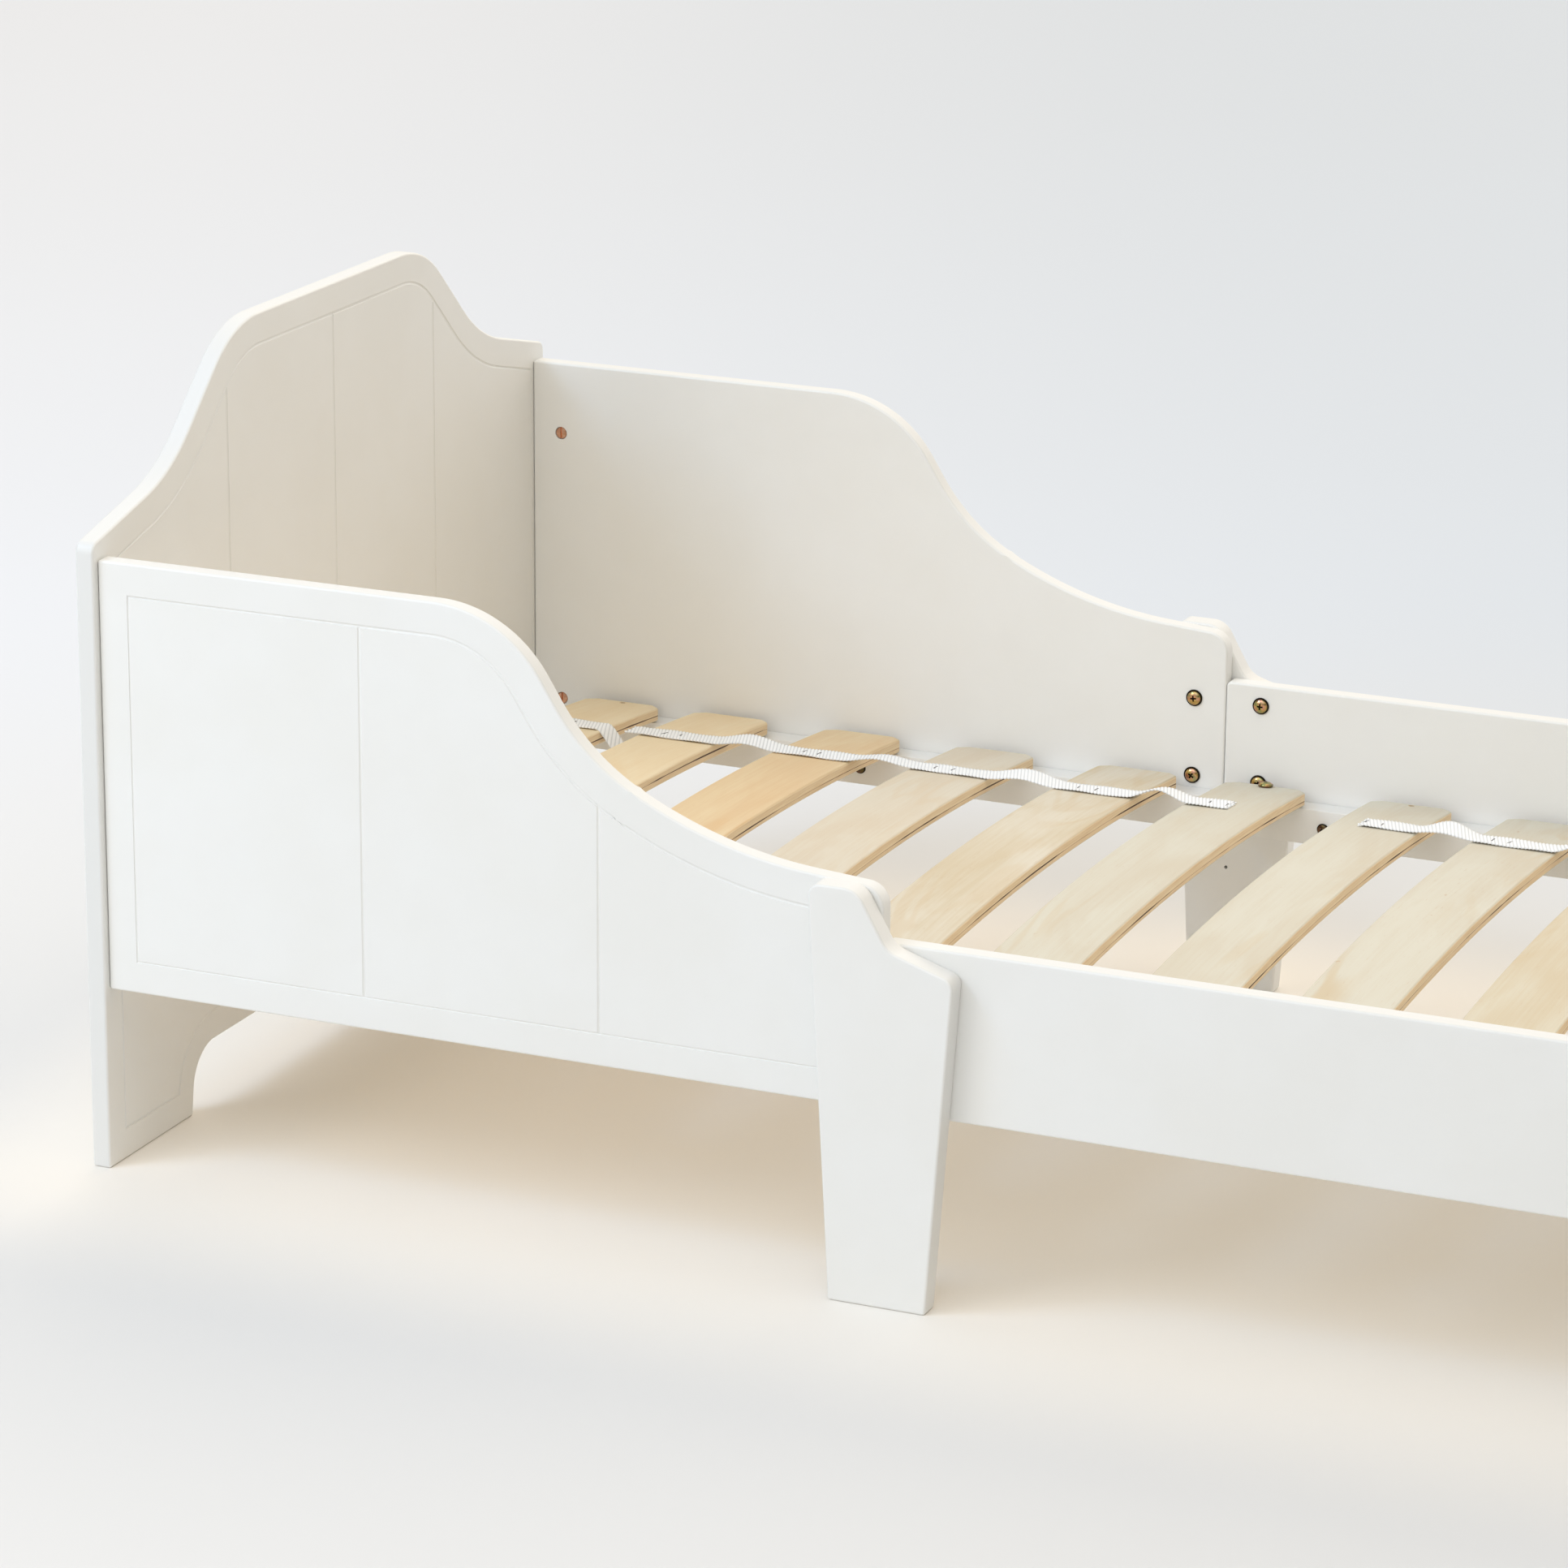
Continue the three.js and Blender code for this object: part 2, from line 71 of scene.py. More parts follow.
# azimuth runs from the front towards the foot end; each lamp has one strength and one tint
light = {
    "tints": {"plain": (1.0, 1.0, 1.0), "warm": (1.0, 0.91, 0.78), "window": (0.4, 0.65, 1.0),
              "bright": (0.96, 1.0, 1.03)},
    "glow": (                 # broad soft light: azimuth, elevation, strength, tint
        (0, 45, 1.75, "bright"),
        (90, 45, 0.8, "warm"),
        (150, 12, 1.3, "plain"),
        (180, 45, 1.7, "warm"),
        (-150, 12, 0.7, "warm"),
        (0, 90, 0.7, "warm"),
    ),
    "glowTightness": 6.0,
    "boxes": {                # azimuth, elevation, distance, size in metres, watts, tint
        "lowKey": (-35, 25, 4.0, 2.0, 34, "plain"),
        "highKey": (-48, 45, 4.0, 1.1, 30, "window"),
    },
    "aim": (-0.3, 0.0, 0.3),
}


def towards(azimuth, elevation):
    a, e = math.radians(azimuth), math.radians(elevation)
    return Vector((math.sin(a) * math.cos(e), -math.cos(a) * math.cos(e), math.sin(e)))


def aimed(place, azimuth, elevation, roll=0.0):
    # stands at place and looks back along towards(azimuth, elevation)
    turn = Quaternion((0, 0, 1), math.radians(azimuth))
    tilt = Quaternion((1, 0, 0), math.radians(90 - elevation))
    own = Quaternion((0, 0, 1), math.radians(roll))
    return Matrix.Translation(place) @ (turn @ tilt @ own).to_matrix().to_4x4()


def addCamera():
    data = bpy.data.cameras.new("studioCamera")
    data.lens = view["lens"]
    data.sensor_width = view["sensor"]
    data.clip_end = 100.0
    camera = bpy.data.objects.new("studioCamera", data)
    bpy.context.scene.collection.objects.link(camera)
    camera.matrix_world = aimed(view["place"], view["azimuth"], view["elevation"], view["roll"])
    bpy.context.scene.camera = camera


def addBox(name, azimuth, elevation, distance, size, watts, tint):
    data = bpy.data.lights.new(name, "AREA")
    data.shape = "SQUARE"
    data.size = size
    data.energy = watts
    data.color = light["tints"][tint]
    box = bpy.data.objects.new(name, data)
    bpy.context.scene.collection.objects.link(box)
    place = Vector(light["aim"]) + towards(azimuth, elevation) * distance
    box.matrix_world = aimed(place, azimuth, elevation)


def addGlow():
    # broad lobes of light on the studio walls, brightest along their own directions
    world = bpy.data.worlds.new("studioWorld")
    world.use_nodes = True
    tree = Tree(world.node_tree)
    around = tree.nodes.new("ShaderNodeTexCoord").outputs["Generated"]
    total = None
    for azimuth, elevation, strength, tint in light["glow"]:
        facing = tree.vector("DOT_PRODUCT", around, towards(azimuth, elevation))
        lobe = tree.math("POWER", tree.math("MAXIMUM", facing, 0.0), light["glowTightness"])
        tinted = tree.vector("SCALE", Vector(light["tints"][tint]) * strength, scale=lobe)
        total = tinted if total is None else tree.vector("ADD", total, tinted)
    tree.plug(tree.nodes["Background"].inputs["Color"], total)
    bpy.context.scene.world = world


def addLights():
    for name, box in light["boxes"].items():
        addBox(name, *box)
    addGlow()
    bpy.context.scene.view_settings.view_transform = "Standard"


# modelling by hand
def deselectAll():
    if bpy.context.object and bpy.context.object.mode != "OBJECT":
        bpy.ops.object.mode_set(mode="OBJECT")
    bpy.ops.object.select_all(action="DESELECT")


def activate(piece):
    deselectAll()
    piece.select_set(True)
    bpy.context.view_layer.objects.active = piece


def editMode(piece):
    activate(piece)
    bpy.ops.object.mode_set(mode="EDIT")


def pick(kind, test):
    bpy.ops.mesh.select_mode(type=kind)
    bpy.ops.mesh.select_all(action="DESELECT")
    mesh = bpy.context.object.data
    opened = bmesh.from_edit_mesh(mesh)
    members = {"VERT": opened.verts, "EDGE": opened.edges, "FACE": opened.faces}[kind]
    for member in members:
        if test(member):
            member.select_set(True)
    opened.select_flush_mode()
    bmesh.update_edit_mesh(mesh)


def applyAll(piece):
    activate(piece)
    for modifier in list(piece.modifiers):
        bpy.ops.object.modifier_apply(modifier=modifier.name)


# Outlines are corners (u, v, radius). A corner's round is an arc from start to end.
arcSag = 0.02 * mm


def cornerRound(corners, i):
    here = Vector(corners[i][:2])
    radius = corners[i][2] if len(corners[i]) > 2 else 0
    if not radius:
        return {"start": here, "end": here, "turn": 0}
    before = Vector(corners[i - 1][:2]) - here
    after = Vector(corners[(i + 1) % len(corners)][:2]) - here
    half = before.angle(after) / 2
    start = here + before.normalized() * radius / math.tan(half)
    end = here + after.normalized() * radius / math.tan(half)
    centre = here + (before.normalized() + after.normalized()).normalized() * radius / math.sin(half)
    turn = (start - centre).angle_signed(end - centre) * -1
    steps = max(3, math.ceil(abs(turn) / (2 * math.acos(1 - arcSag / radius))))
    return {"start": start, "end": end, "centre": centre, "turn": turn, "steps": steps}


def insetCorners(corners, distance):
    # the same outline moved inwards; outer rounds shrink and hollow rounds grow
    inset = []
    for i, corner in enumerate(corners):
        here = Vector(corner[:2])
        radius = corner[2] if len(corner) > 2 else 0
        before = (here - Vector(corners[i - 1][:2])).normalized()
        after = (Vector(corners[(i + 1) % len(corners)][:2]) - here).normalized()
        normals = [Vector((-d.y, d.x)) for d in (before, after)]
        bisector = (normals[0] + normals[1]).normalized()
        moved = here + bisector * distance / bisector.dot(normals[0])
        outer = before.x * after.y - before.y * after.x > 0
        radius = max(radius - distance, 0) if outer else radius + distance
        inset.append((moved.x, moved.y, radius))
    return inset


def startPen(name, place):
    deselectAll()
    bpy.ops.mesh.primitive_plane_add(size=0.01)
    piece = bpy.context.object
    piece.name = name
    piece.data.name = name
    bpy.ops.object.mode_set(mode="EDIT")
    bpy.ops.mesh.select_mode(type="VERT")
    bpy.ops.mesh.select_all(action="SELECT")
    bpy.ops.mesh.merge(type="CENTER")
    bpy.ops.transform.translate(value=place)
    return piece


def penTo(here, there):
    if (there - here).length > 1e-6:
        bpy.ops.mesh.extrude_region_move(TRANSFORM_OT_translate={"value": there - here})


def drawOutline(name, corners, at):
    # at(u, v) gives the point in the bed; the outline is closed and left in edit mode
    rounds = [cornerRound(corners, i) for i in range(len(corners))]
    pen = at(*rounds[-1]["end"])
    origin = at(0, 0)
    axis = (at(1, 0) - origin).cross(at(0, 1) - origin)
    piece = startPen(name, pen)
    for bend in rounds:
        penTo(pen, at(*bend["start"]))
        pen = at(*bend["end"])
        if bend["turn"]:
            bpy.ops.mesh.spin(steps=bend["steps"], angle=-bend["turn"],
                              center=at(*bend["centre"]), axis=axis)
    bpy.ops.mesh.select_all(action="SELECT")
    bpy.ops.mesh.remove_doubles(threshold=0.01 * mm)
    return piece


def cutBoard(name, corners, at, thickness, soft, softSteps=3):
    # a flat board sawn to the outline, thickness is a vector, with softened edges
    piece = drawOutline(name, corners, at)
    bpy.ops.mesh.edge_face_add()
    bpy.ops.mesh.extrude_region_move(TRANSFORM_OT_translate={"value": thickness})
    bpy.ops.mesh.select_all(action="SELECT")
    bpy.ops.mesh.normals_make_consistent(inside=False)
    through = thickness.normalized()

    def onRim(edge):
        along = (edge.verts[1].co - edge.verts[0].co).normalized()
        return abs(along.dot(through)) < 0.5 or edge.calc_face_angle(0) > 0.6

    pick("EDGE", onRim)
    bpy.ops.mesh.bevel(offset=soft, segments=softSteps, profile=0.5, affect="EDGES",
                       clamp_overlap=False)
    bpy.ops.object.mode_set(mode="OBJECT")
    return piece


def splitBoard(piece, along, low, high, strips):
    # flush cuts keep the broad faces simple where grooves and bores run into them
    editMode(piece)
    for k in range(1, strips):
        bpy.ops.mesh.select_all(action="SELECT")
        place = Vector(along) * (low + (high - low) * k / strips)
        bpy.ops.mesh.bisect(plane_co=place, plane_no=along)
    bpy.ops.object.mode_set(mode="OBJECT")


def closeUp(piece):
    editMode(piece)
    bpy.ops.mesh.select_all(action="SELECT")
    bpy.ops.mesh.remove_doubles(threshold=0.005 * mm)
    bpy.ops.mesh.normals_make_consistent(inside=False)
    bpy.ops.object.mode_set(mode="OBJECT")


def subtract(piece, tool):
    # boolean difference, after which the tool is thrown away
    activate(piece)
    modifier = piece.modifiers.new("cut", "BOOLEAN")
    modifier.operation = "DIFFERENCE"
    modifier.solver = "MANIFOLD"
    modifier.object = tool
    bpy.ops.object.modifier_apply(modifier=modifier.name)
    bpy.data.objects.remove(tool)


def millGroove(piece, tool, radius):
    # tool is a drawn line, closed or open, run round with a ball cutter
    activate(tool)
    bpy.ops.object.convert(target="CURVE")
    curve = bpy.context.object
    curve.data.bevel_depth = radius
    curve.data.bevel_resolution = 3
    curve.data.use_fill_caps = True
    bpy.ops.object.convert(target="MESH")
    closeUp(bpy.context.object)
    subtract(piece, bpy.context.object)


def millStraight(piece, start, end, radius):
    tool = startPen("cutter", start)
    penTo(start, end)
    millGroove(piece, tool, radius)


def drill(piece, place, direction, diameter, depth, sides=32):
    deselectAll()
    bpy.ops.mesh.primitive_cylinder_add(vertices=sides, radius=diameter / 2, depth=depth)
    tool = bpy.context.object
    turn = Vector((0, 0, 1)).rotation_difference(Vector(direction))
    tool.data.transform(Matrix.Translation(place) @ turn.to_matrix().to_4x4())
    subtract(piece, tool)


def nodeMiddle(node):
    low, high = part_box(node)
    return low, high, (low + high) / 2


def boreFor(piece, kind, boards, play=0.4 * mm):
    # clears every fastener of a kind out of a board, along the way the fastener runs
    for node in sorted(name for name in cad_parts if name.startswith(kind)):
        if boards not in node:
            continue
        low, high, middle = nodeMiddle(node)
        size = high - low
        if kind == "barrel_nut":
            drill(piece, middle, (0, 1, 0), size.z + 2 * play, size.y + 2 * play, 40)
        elif kind == "connector_bolt":
            drill(piece, middle, (1, 0, 0), boreWidth["bolt"] + 2 * play, size.x + 2 * play, 24)
        else:
            drill(piece, middle, (0, 1, 0), boreWidth["screw"] + 2 * play, size.y + 2 * play, 24)


def smooth(piece, degrees=32):
    # flats stay flat and the softened edges carry the turn of the shading
    activate(piece)
    bpy.ops.object.shade_smooth_by_angle(angle=math.radians(degrees))
    modifier = piece.modifiers.new("weights", "WEIGHTED_NORMAL")
    modifier.keep_sharp = True
    applyAll(piece)


def finishPiece(piece, material, slotName, *nodes, shade=32):
    piece.data.materials.clear()
    piece.data.materials.append(material)
    if shade:
        smooth(piece, shade)
    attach(piece, "root")
    if nodes:
        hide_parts(*nodes)


def copyTo(master, name, place):
    # a copy with its own mesh; place is a matrix
    piece = master.copy()
    piece.data = master.data.copy()
    piece.name = name
    piece.data.name = name
    bpy.context.scene.collection.objects.link(piece)
    piece.data.transform(place)
    return piece


def standing(place, direction, spin=0.0):
    # a piece modelled up the Z axis, set at place and pointing along direction
    turn = Vector((0, 0, 1)).rotation_difference(Vector(direction))
    own = Matrix.Rotation(spin, 4, "Z")
    return Matrix.Translation(place) @ turn.to_matrix().to_4x4() @ own


def remove(piece):
    deselectAll()
    bpy.data.objects.remove(piece)


# shader helpers
class Tree:
    # short hand for building a node tree: sockets or plain values go in, a socket comes out
    def __init__(self, tree):
        self.tree = tree
        self.nodes = tree.nodes
        self.links = tree.links

    def plug(self, socket, value):
        if isinstance(value, bpy.types.NodeSocket):
            self.links.new(value, socket)
        elif value is not None:
            socket.default_value = value

    def math(self, operation, a, b=None, c=None, clamp=False):
        node = self.nodes.new("ShaderNodeMath")
        node.operation = operation
        node.use_clamp = clamp
        for socket, value in zip(node.inputs, (a, b, c)):
            self.plug(socket, value)
        return node.outputs[0]

    def plus(self, a, b):
        return self.math("ADD", a, b)

    def minus(self, a, b):
        return self.math("SUBTRACT", a, b)

    def times(self, a, b):
        return self.math("MULTIPLY", a, b)

    def wave(self, value, pitch):
        # a sine that goes once round in each pitch
        return self.math("SINE", self.times(self.math("DIVIDE", value, pitch), math.tau))

    def vector(self, operation, a, b=None, scale=None):
        node = self.nodes.new("ShaderNodeVectorMath")
        node.operation = operation
        self.plug(node.inputs[0], a)
        self.plug(node.inputs[1], b)
        if operation == "SCALE":
            self.plug(node.inputs["Scale"], scale)
        return node.outputs["Value" if operation == "DOT_PRODUCT" else "Vector"]

    def ramp(self, value, low, high, toLow=0.0, toHigh=1.0, smoothly=True):
        node = self.nodes.new("ShaderNodeMapRange")
        node.interpolation_type = "SMOOTHSTEP" if smoothly else "LINEAR"
        for name, item in (("Value", value), ("From Min", low), ("From Max", high),
                           ("To Min", toLow), ("To Max", toHigh)):
            self.plug(node.inputs[name], item)
        return node.outputs["Result"]

    def mix(self, factor, a, b, blend="MIX"):
        node = self.nodes.new("ShaderNodeMix")
        node.data_type = "RGBA"
        node.blend_type = blend
        self.plug(node.inputs[0], factor)
        self.plug(node.inputs[6], a)
        self.plug(node.inputs[7], b)
        return node.outputs[2]

    def noise(self, vector, scale, detail=2.0, rough=0.5, distortion=0.0):
        node = self.nodes.new("ShaderNodeTexNoise")
        self.plug(node.inputs["Vector"], vector)
        self.plug(node.inputs["Scale"], scale)
        node.inputs["Detail"].default_value = detail
        node.inputs["Roughness"].default_value = rough
        node.inputs["Distortion"].default_value = distortion
        return node.outputs[0]

    def mapped(self, vector, scale=(1, 1, 1), turn=(0, 0, 0), shift=(0, 0, 0)):
        node = self.nodes.new("ShaderNodeMapping")
        self.plug(node.inputs["Vector"], vector)
        self.plug(node.inputs["Scale"], scale)
        self.plug(node.inputs["Rotation"], turn)
        self.plug(node.inputs["Location"], shift)
        return node.outputs[0]

    def objectPlace(self):
        return self.nodes.new("ShaderNodeTexCoord").outputs["Object"]

    def parts(self, vector):
        node = self.nodes.new("ShaderNodeSeparateXYZ")
        self.plug(node.inputs[0], vector)
        return node.outputs[0], node.outputs[1], node.outputs[2]

    def group(self, group, **values):
        node = self.nodes.new("ShaderNodeGroup")
        node.node_tree = group
        for name, value in values.items():
            self.plug(node.inputs[name], value)
        return node.outputs

    def bump(self, height, strength, distance, normal=None):
        node = self.nodes.new("ShaderNodeBump")
        node.inputs["Strength"].default_value = strength
        node.inputs["Distance"].default_value = distance
        self.plug(node.inputs["Height"], height)
        if normal is not None:
            self.plug(node.inputs["Normal"], normal)
        return node.outputs[0]


def newGroup(name, inputs, outputs):
    # inputs are (name, kind, default) and outputs (name, kind)
    group = bpy.data.node_groups.new(name, "ShaderNodeTree")
    kinds = {"value": "NodeSocketFloat", "color": "NodeSocketColor", "vector": "NodeSocketVector"}
    for label, kind, default in inputs:
        socket = group.interface.new_socket(name=label, in_out="INPUT", socket_type=kinds[kind])
        if default is not None:
            socket.default_value = default
    for label, kind in outputs:
        group.interface.new_socket(name=label, in_out="OUTPUT", socket_type=kinds[kind])
    tree = Tree(group)
    given = group.nodes.new("NodeGroupInput").outputs
    result = group.nodes.new("NodeGroupOutput").inputs
    return group, tree, given, result


def newMaterial(name, color, **fixed):
    material = bpy.data.materials.new(name)
    material.use_nodes = True
    material.diffuse_color = (*color, 1)
    tree = Tree(material.node_tree)
    shader = material.node_tree.nodes["Principled BSDF"].inputs
    shader["Base Color"].default_value = (*color, 1)
    for label, value in fixed.items():
        shader[label.replace("_", " ")].default_value = value
    return material, tree, shader


# shared effects
def makeLacquerSkin():
    # sprayed lacquer: fine orange peel, slow mottling and a few specks of dust under the coat
    group, tree, given, result = newGroup("lacquerSkin", [
        ("Place", "vector", None), ("Peel Scale", "value", 260.0), ("Peel", "value", 1.0),
        ("Specks", "value", 0.3)],
        [("Tone", "value"), ("Height", "value"), ("Sheen Break", "value")])
    peel = tree.noise(given["Place"], given["Peel Scale"], 3.0, 0.55)
    broad = tree.noise(given["Place"], 7.0, 3.0, 0.6)
    dust = tree.noise(given["Place"], 900.0, 1.0, 0.4)
    speck = tree.ramp(dust, 0.77, 0.83)
    scaled = tree.times(speck, given["Specks"])
    tree.plug(result["Tone"], tree.minus(broad, tree.times(scaled, 0.6)))
    height = tree.times(peel, given["Peel"])
    tree.plug(result["Height"], tree.plus(height, scaled))
    tree.plug(result["Sheen Break"], tree.times(tree.plus(peel, broad), 0.5))
    return group


def makeWoodFigure():
    # rotary cut birch along Y: quiet grain, soft clouds, wandering flames and short pores
    group, tree, given, result = newGroup("woodFigure", [
        ("Place", "vector", None), ("Shift", "vector", None), ("Flame", "value", 0.5),
        ("Pores", "value", 0.5)],
        [("Cloud", "value"), ("Flame", "value"), ("Pore", "value"), ("Height", "value")])
    place = tree.vector("ADD", given["Place"], given["Shift"])
    grain = tree.noise(tree.mapped(place, (420, 9, 60)), 1.0, 4.0, 0.6, 0.2)
    broad = tree.noise(tree.mapped(place, (22, 6, 4)), 1.0, 3.0, 0.55, 0.6)
    tree.plug(result["Cloud"], tree.plus(tree.times(grain, 0.3),
                                         tree.times(broad, 0.7)))
    swirl = tree.noise(tree.mapped(place, (17, 3.2, 5)), 1.0, 2.0, 0.5, 0.9)
    rings = tree.math("SINE", tree.times(swirl, 38.0))
    soft = tree.ramp(rings, -0.2, 1.0)
    patch = tree.ramp(tree.noise(tree.mapped(place, (8, 2.6, 3)), 1.0, 1.0, 0.5), 0.42, 0.62)
    flame = tree.times(tree.times(soft, patch), given["Flame"])
    tree.plug(result["Flame"], flame)
    dashes = tree.noise(tree.mapped(place, (1100, 75, 300)), 1.0, 1.0, 0.5)
    flecks = tree.noise(tree.mapped(place, (160, 60, 60)), 1.0, 2.0, 0.5)
    pore = tree.math("MAXIMUM", tree.times(tree.ramp(dashes, 0.68, 0.76), 0.5),
                     tree.ramp(flecks, 0.74, 0.80))
    pore = tree.times(pore, given["Pores"])
    tree.plug(result["Pore"], pore)
    tree.plug(result["Height"], tree.minus(tree.times(grain, 0.5), pore))
    return group


def makePlyLayers():
    # sawn edge of the bent ply: veneers by depth below the curved top, glue lines and gaps
    group, tree, given, result = newGroup("plyLayers", [
        ("Place", "vector", None), ("Base", "value", 0.176), ("Rise", "value", 0.02),
        ("Half Length", "value", 0.35), ("Thickness", "value", 0.0115), ("Plies", "value", 5.0),
        ("Open Line", "value", 0.3)],
        [("Veneer", "value"), ("Glue", "value"), ("Gap", "value"), ("Gap Depth", "value"),
         ("Cross", "value")])
    x, y, z = tree.parts(given["Place"])
    share = tree.math("DIVIDE", y, given["Half Length"])
    bend = tree.minus(1.0, tree.times(share, share))
    under = tree.minus(tree.minus(z, given["Base"]),
                      tree.times(bend, given["Rise"]))
    wander = tree.noise(tree.mapped(given["Place"], (1, 9, 1)), 1.0, 3.0, 0.6)
    depth = tree.math("DIVIDE", under, given["Thickness"])
    depth = tree.plus(depth, tree.times(tree.minus(wander, 0.5), 0.035))
    layer = tree.times(depth, given["Plies"])
    index = tree.math("FLOOR", layer)
    inside = tree.minus(layer, index)
    edge = tree.math("ABSOLUTE", tree.minus(inside, 0.5))
    tree.plug(result["Glue"], tree.ramp(edge, 0.42, 0.49))
    tree.plug(result["Cross"], tree.math("MODULO", index, 2.0))
    tree.plug(result["Veneer"], tree.noise(tree.mapped(given["Place"], (40, 26, 620)), 1.0, 3.0, 0.6))
    line = tree.math("ABSOLUTE", tree.minus(depth, given["Open Line"]))
    along = tree.nodes.new("ShaderNodeCombineXYZ")
    tree.plug(along.inputs[0], tree.times(x, 21.0))
    tree.plug(along.inputs[1], tree.times(y, 7.0))
    opened = tree.noise(along.outputs[0], 1.0, 3.0, 0.62)
    width = tree.ramp(opened, 0.40, 0.66, 0.012, 0.075)
    tree.plug(result["Gap"], tree.ramp(line, width, tree.times(width, 0.55)))
    tree.plug(result["Gap Depth"], tree.ramp(opened, 0.44, 0.60))
    return group


def makeTwillRib():
    # slanting ribs of a woven tape with the yarns between them
    group, tree, given, result = newGroup("twillRib", [
        ("Place", "vector", None), ("Rib Pitch", "value", 0.003), ("Lean", "value", 0.35),
        ("Yarn Pitch", "value", 0.0007)],
        [("Rib", "value"), ("Yarn", "value"), ("Height", "value")])
    x, y, z = tree.parts(given["Place"])
    run = tree.plus(x, tree.times(y, given["Lean"]))
    rib = tree.math("MULTIPLY_ADD", tree.wave(run, given["Rib Pitch"]), 0.5, 0.5)
    across = tree.minus(y, tree.times(x, given["Lean"]))
    yarn = tree.math("MULTIPLY_ADD", tree.wave(across, given["Yarn Pitch"]), 0.5, 0.5)
    fuzz = tree.noise(given["Place"], 1400.0, 2.0, 0.6)
    tree.plug(result["Rib"], rib)
    tree.plug(result["Yarn"], tree.times(yarn, fuzz))
    height = tree.plus(rib, tree.times(yarn, 0.35))
    tree.plug(result["Height"], tree.plus(height, tree.times(fuzz, 0.4)))
    return group


def makeZincBloom():
    # passivated zinc: drifting rainbow tints, fine turning marks and dull patches
    group, tree, given, result = newGroup("zincBloom", [
        ("Place", "vector", None), ("Gold", "color", (0.8, 0.62, 0.3, 1)),
        ("Rose", "color", (0.75, 0.42, 0.36, 1)), ("Green", "color", (0.45, 0.56, 0.33, 1)),
        ("Drift", "value", 180.0)],
        [("Color", "color"), ("Rough", "value"), ("Height", "value")])
    first = tree.noise(given["Place"], given["Drift"], 2.0, 0.5)
    shifted = tree.mapped(given["Place"], shift=(3.1, 1.7, 5.3))
    second = tree.noise(shifted, given["Drift"], 2.0, 0.5)
    color = tree.mix(tree.ramp(first, 0.42, 0.62), given["Gold"], given["Rose"])
    color = tree.mix(tree.ramp(second, 0.5, 0.66, 0.0, 0.8), color, given["Green"])
    tree.plug(result["Color"], color)
    fine = tree.noise(given["Place"], 2600.0, 2.0, 0.6)
    tree.plug(result["Rough"], tree.ramp(fine, 0.3, 0.75, 0.10, 0.28))
    tree.plug(result["Height"], fine)
    return group


effects = {
    "lacquer": makeLacquerSkin(),
    "figure": makeWoodFigure(),
    "ply": makePlyLayers(),
    "twill": makeTwillRib(),
    "zinc": makeZincBloom(),
}
print("shared effects ready")


# finishes
paint = {
    "color": (0.885, 0.88, 0.855),
    "shadowTint": (0.865, 0.855, 0.82),
    "edge": (0.80, 0.795, 0.77),
    "gloss": (0.30, 0.42),
    "peel": 0.05,
}


def makePaint(name="satinWhite", edgeAxis=None):
    # edgeAxis is the board's thickness direction: its sawn edges are a little duller and rougher, and
    # their darker colour is painted shade on the edges
    material, tree, shader = newMaterial(name, paint["color"], IOR=1.48)
    place = tree.objectPlace()
    skin = tree.group(effects["lacquer"], Place=place)
    tone = tree.ramp(skin["Tone"], 0.3, 0.7)
    color = tree.mix(tone, (*paint["shadowTint"], 1), (*paint["color"], 1))
    rough = tree.ramp(skin["Sheen Break"], 0.3, 0.7, *paint["gloss"])
    height = skin["Height"]
    if edgeAxis is not None:
        normal = tree.nodes.new("ShaderNodeTexCoord").outputs["Normal"]
        facing = tree.math("ABSOLUTE", tree.parts(normal)[edgeAxis])
        sawn = tree.ramp(facing, 0.25, 0.75, 1.0, 0.0)
        fibre = tree.noise(place, 1500.0, 3.0, 0.7)
        rough = tree.plus(rough, tree.times(sawn, 0.12))
        height = tree.plus(height, tree.times(tree.times(fibre, sawn), 1.5))
        # the sawn edges' darker colour is painted shade
        color = tree.mix(sawn, color, (*paint["edge"], 1))
    tree.plug(shader["Base Color"], color)
    tree.plug(shader["Roughness"], rough)
    tree.plug(shader["Normal"], tree.bump(height, paint["peel"], 0.0004))
    return material


birch = {
    "pale": (0.80, 0.66, 0.43),
    "pore": (0.50, 0.31, 0.15),
    "sawn": (0.89, 0.72, 0.48),
    "cross": (0.76, 0.54, 0.31),
    "glue": (0.40, 0.21, 0.11),
    "gap": (0.07, 0.03, 0.017),
    "endGrain": (0.36, 0.25, 0.14),
    "rough": (0.48, 0.62),
}


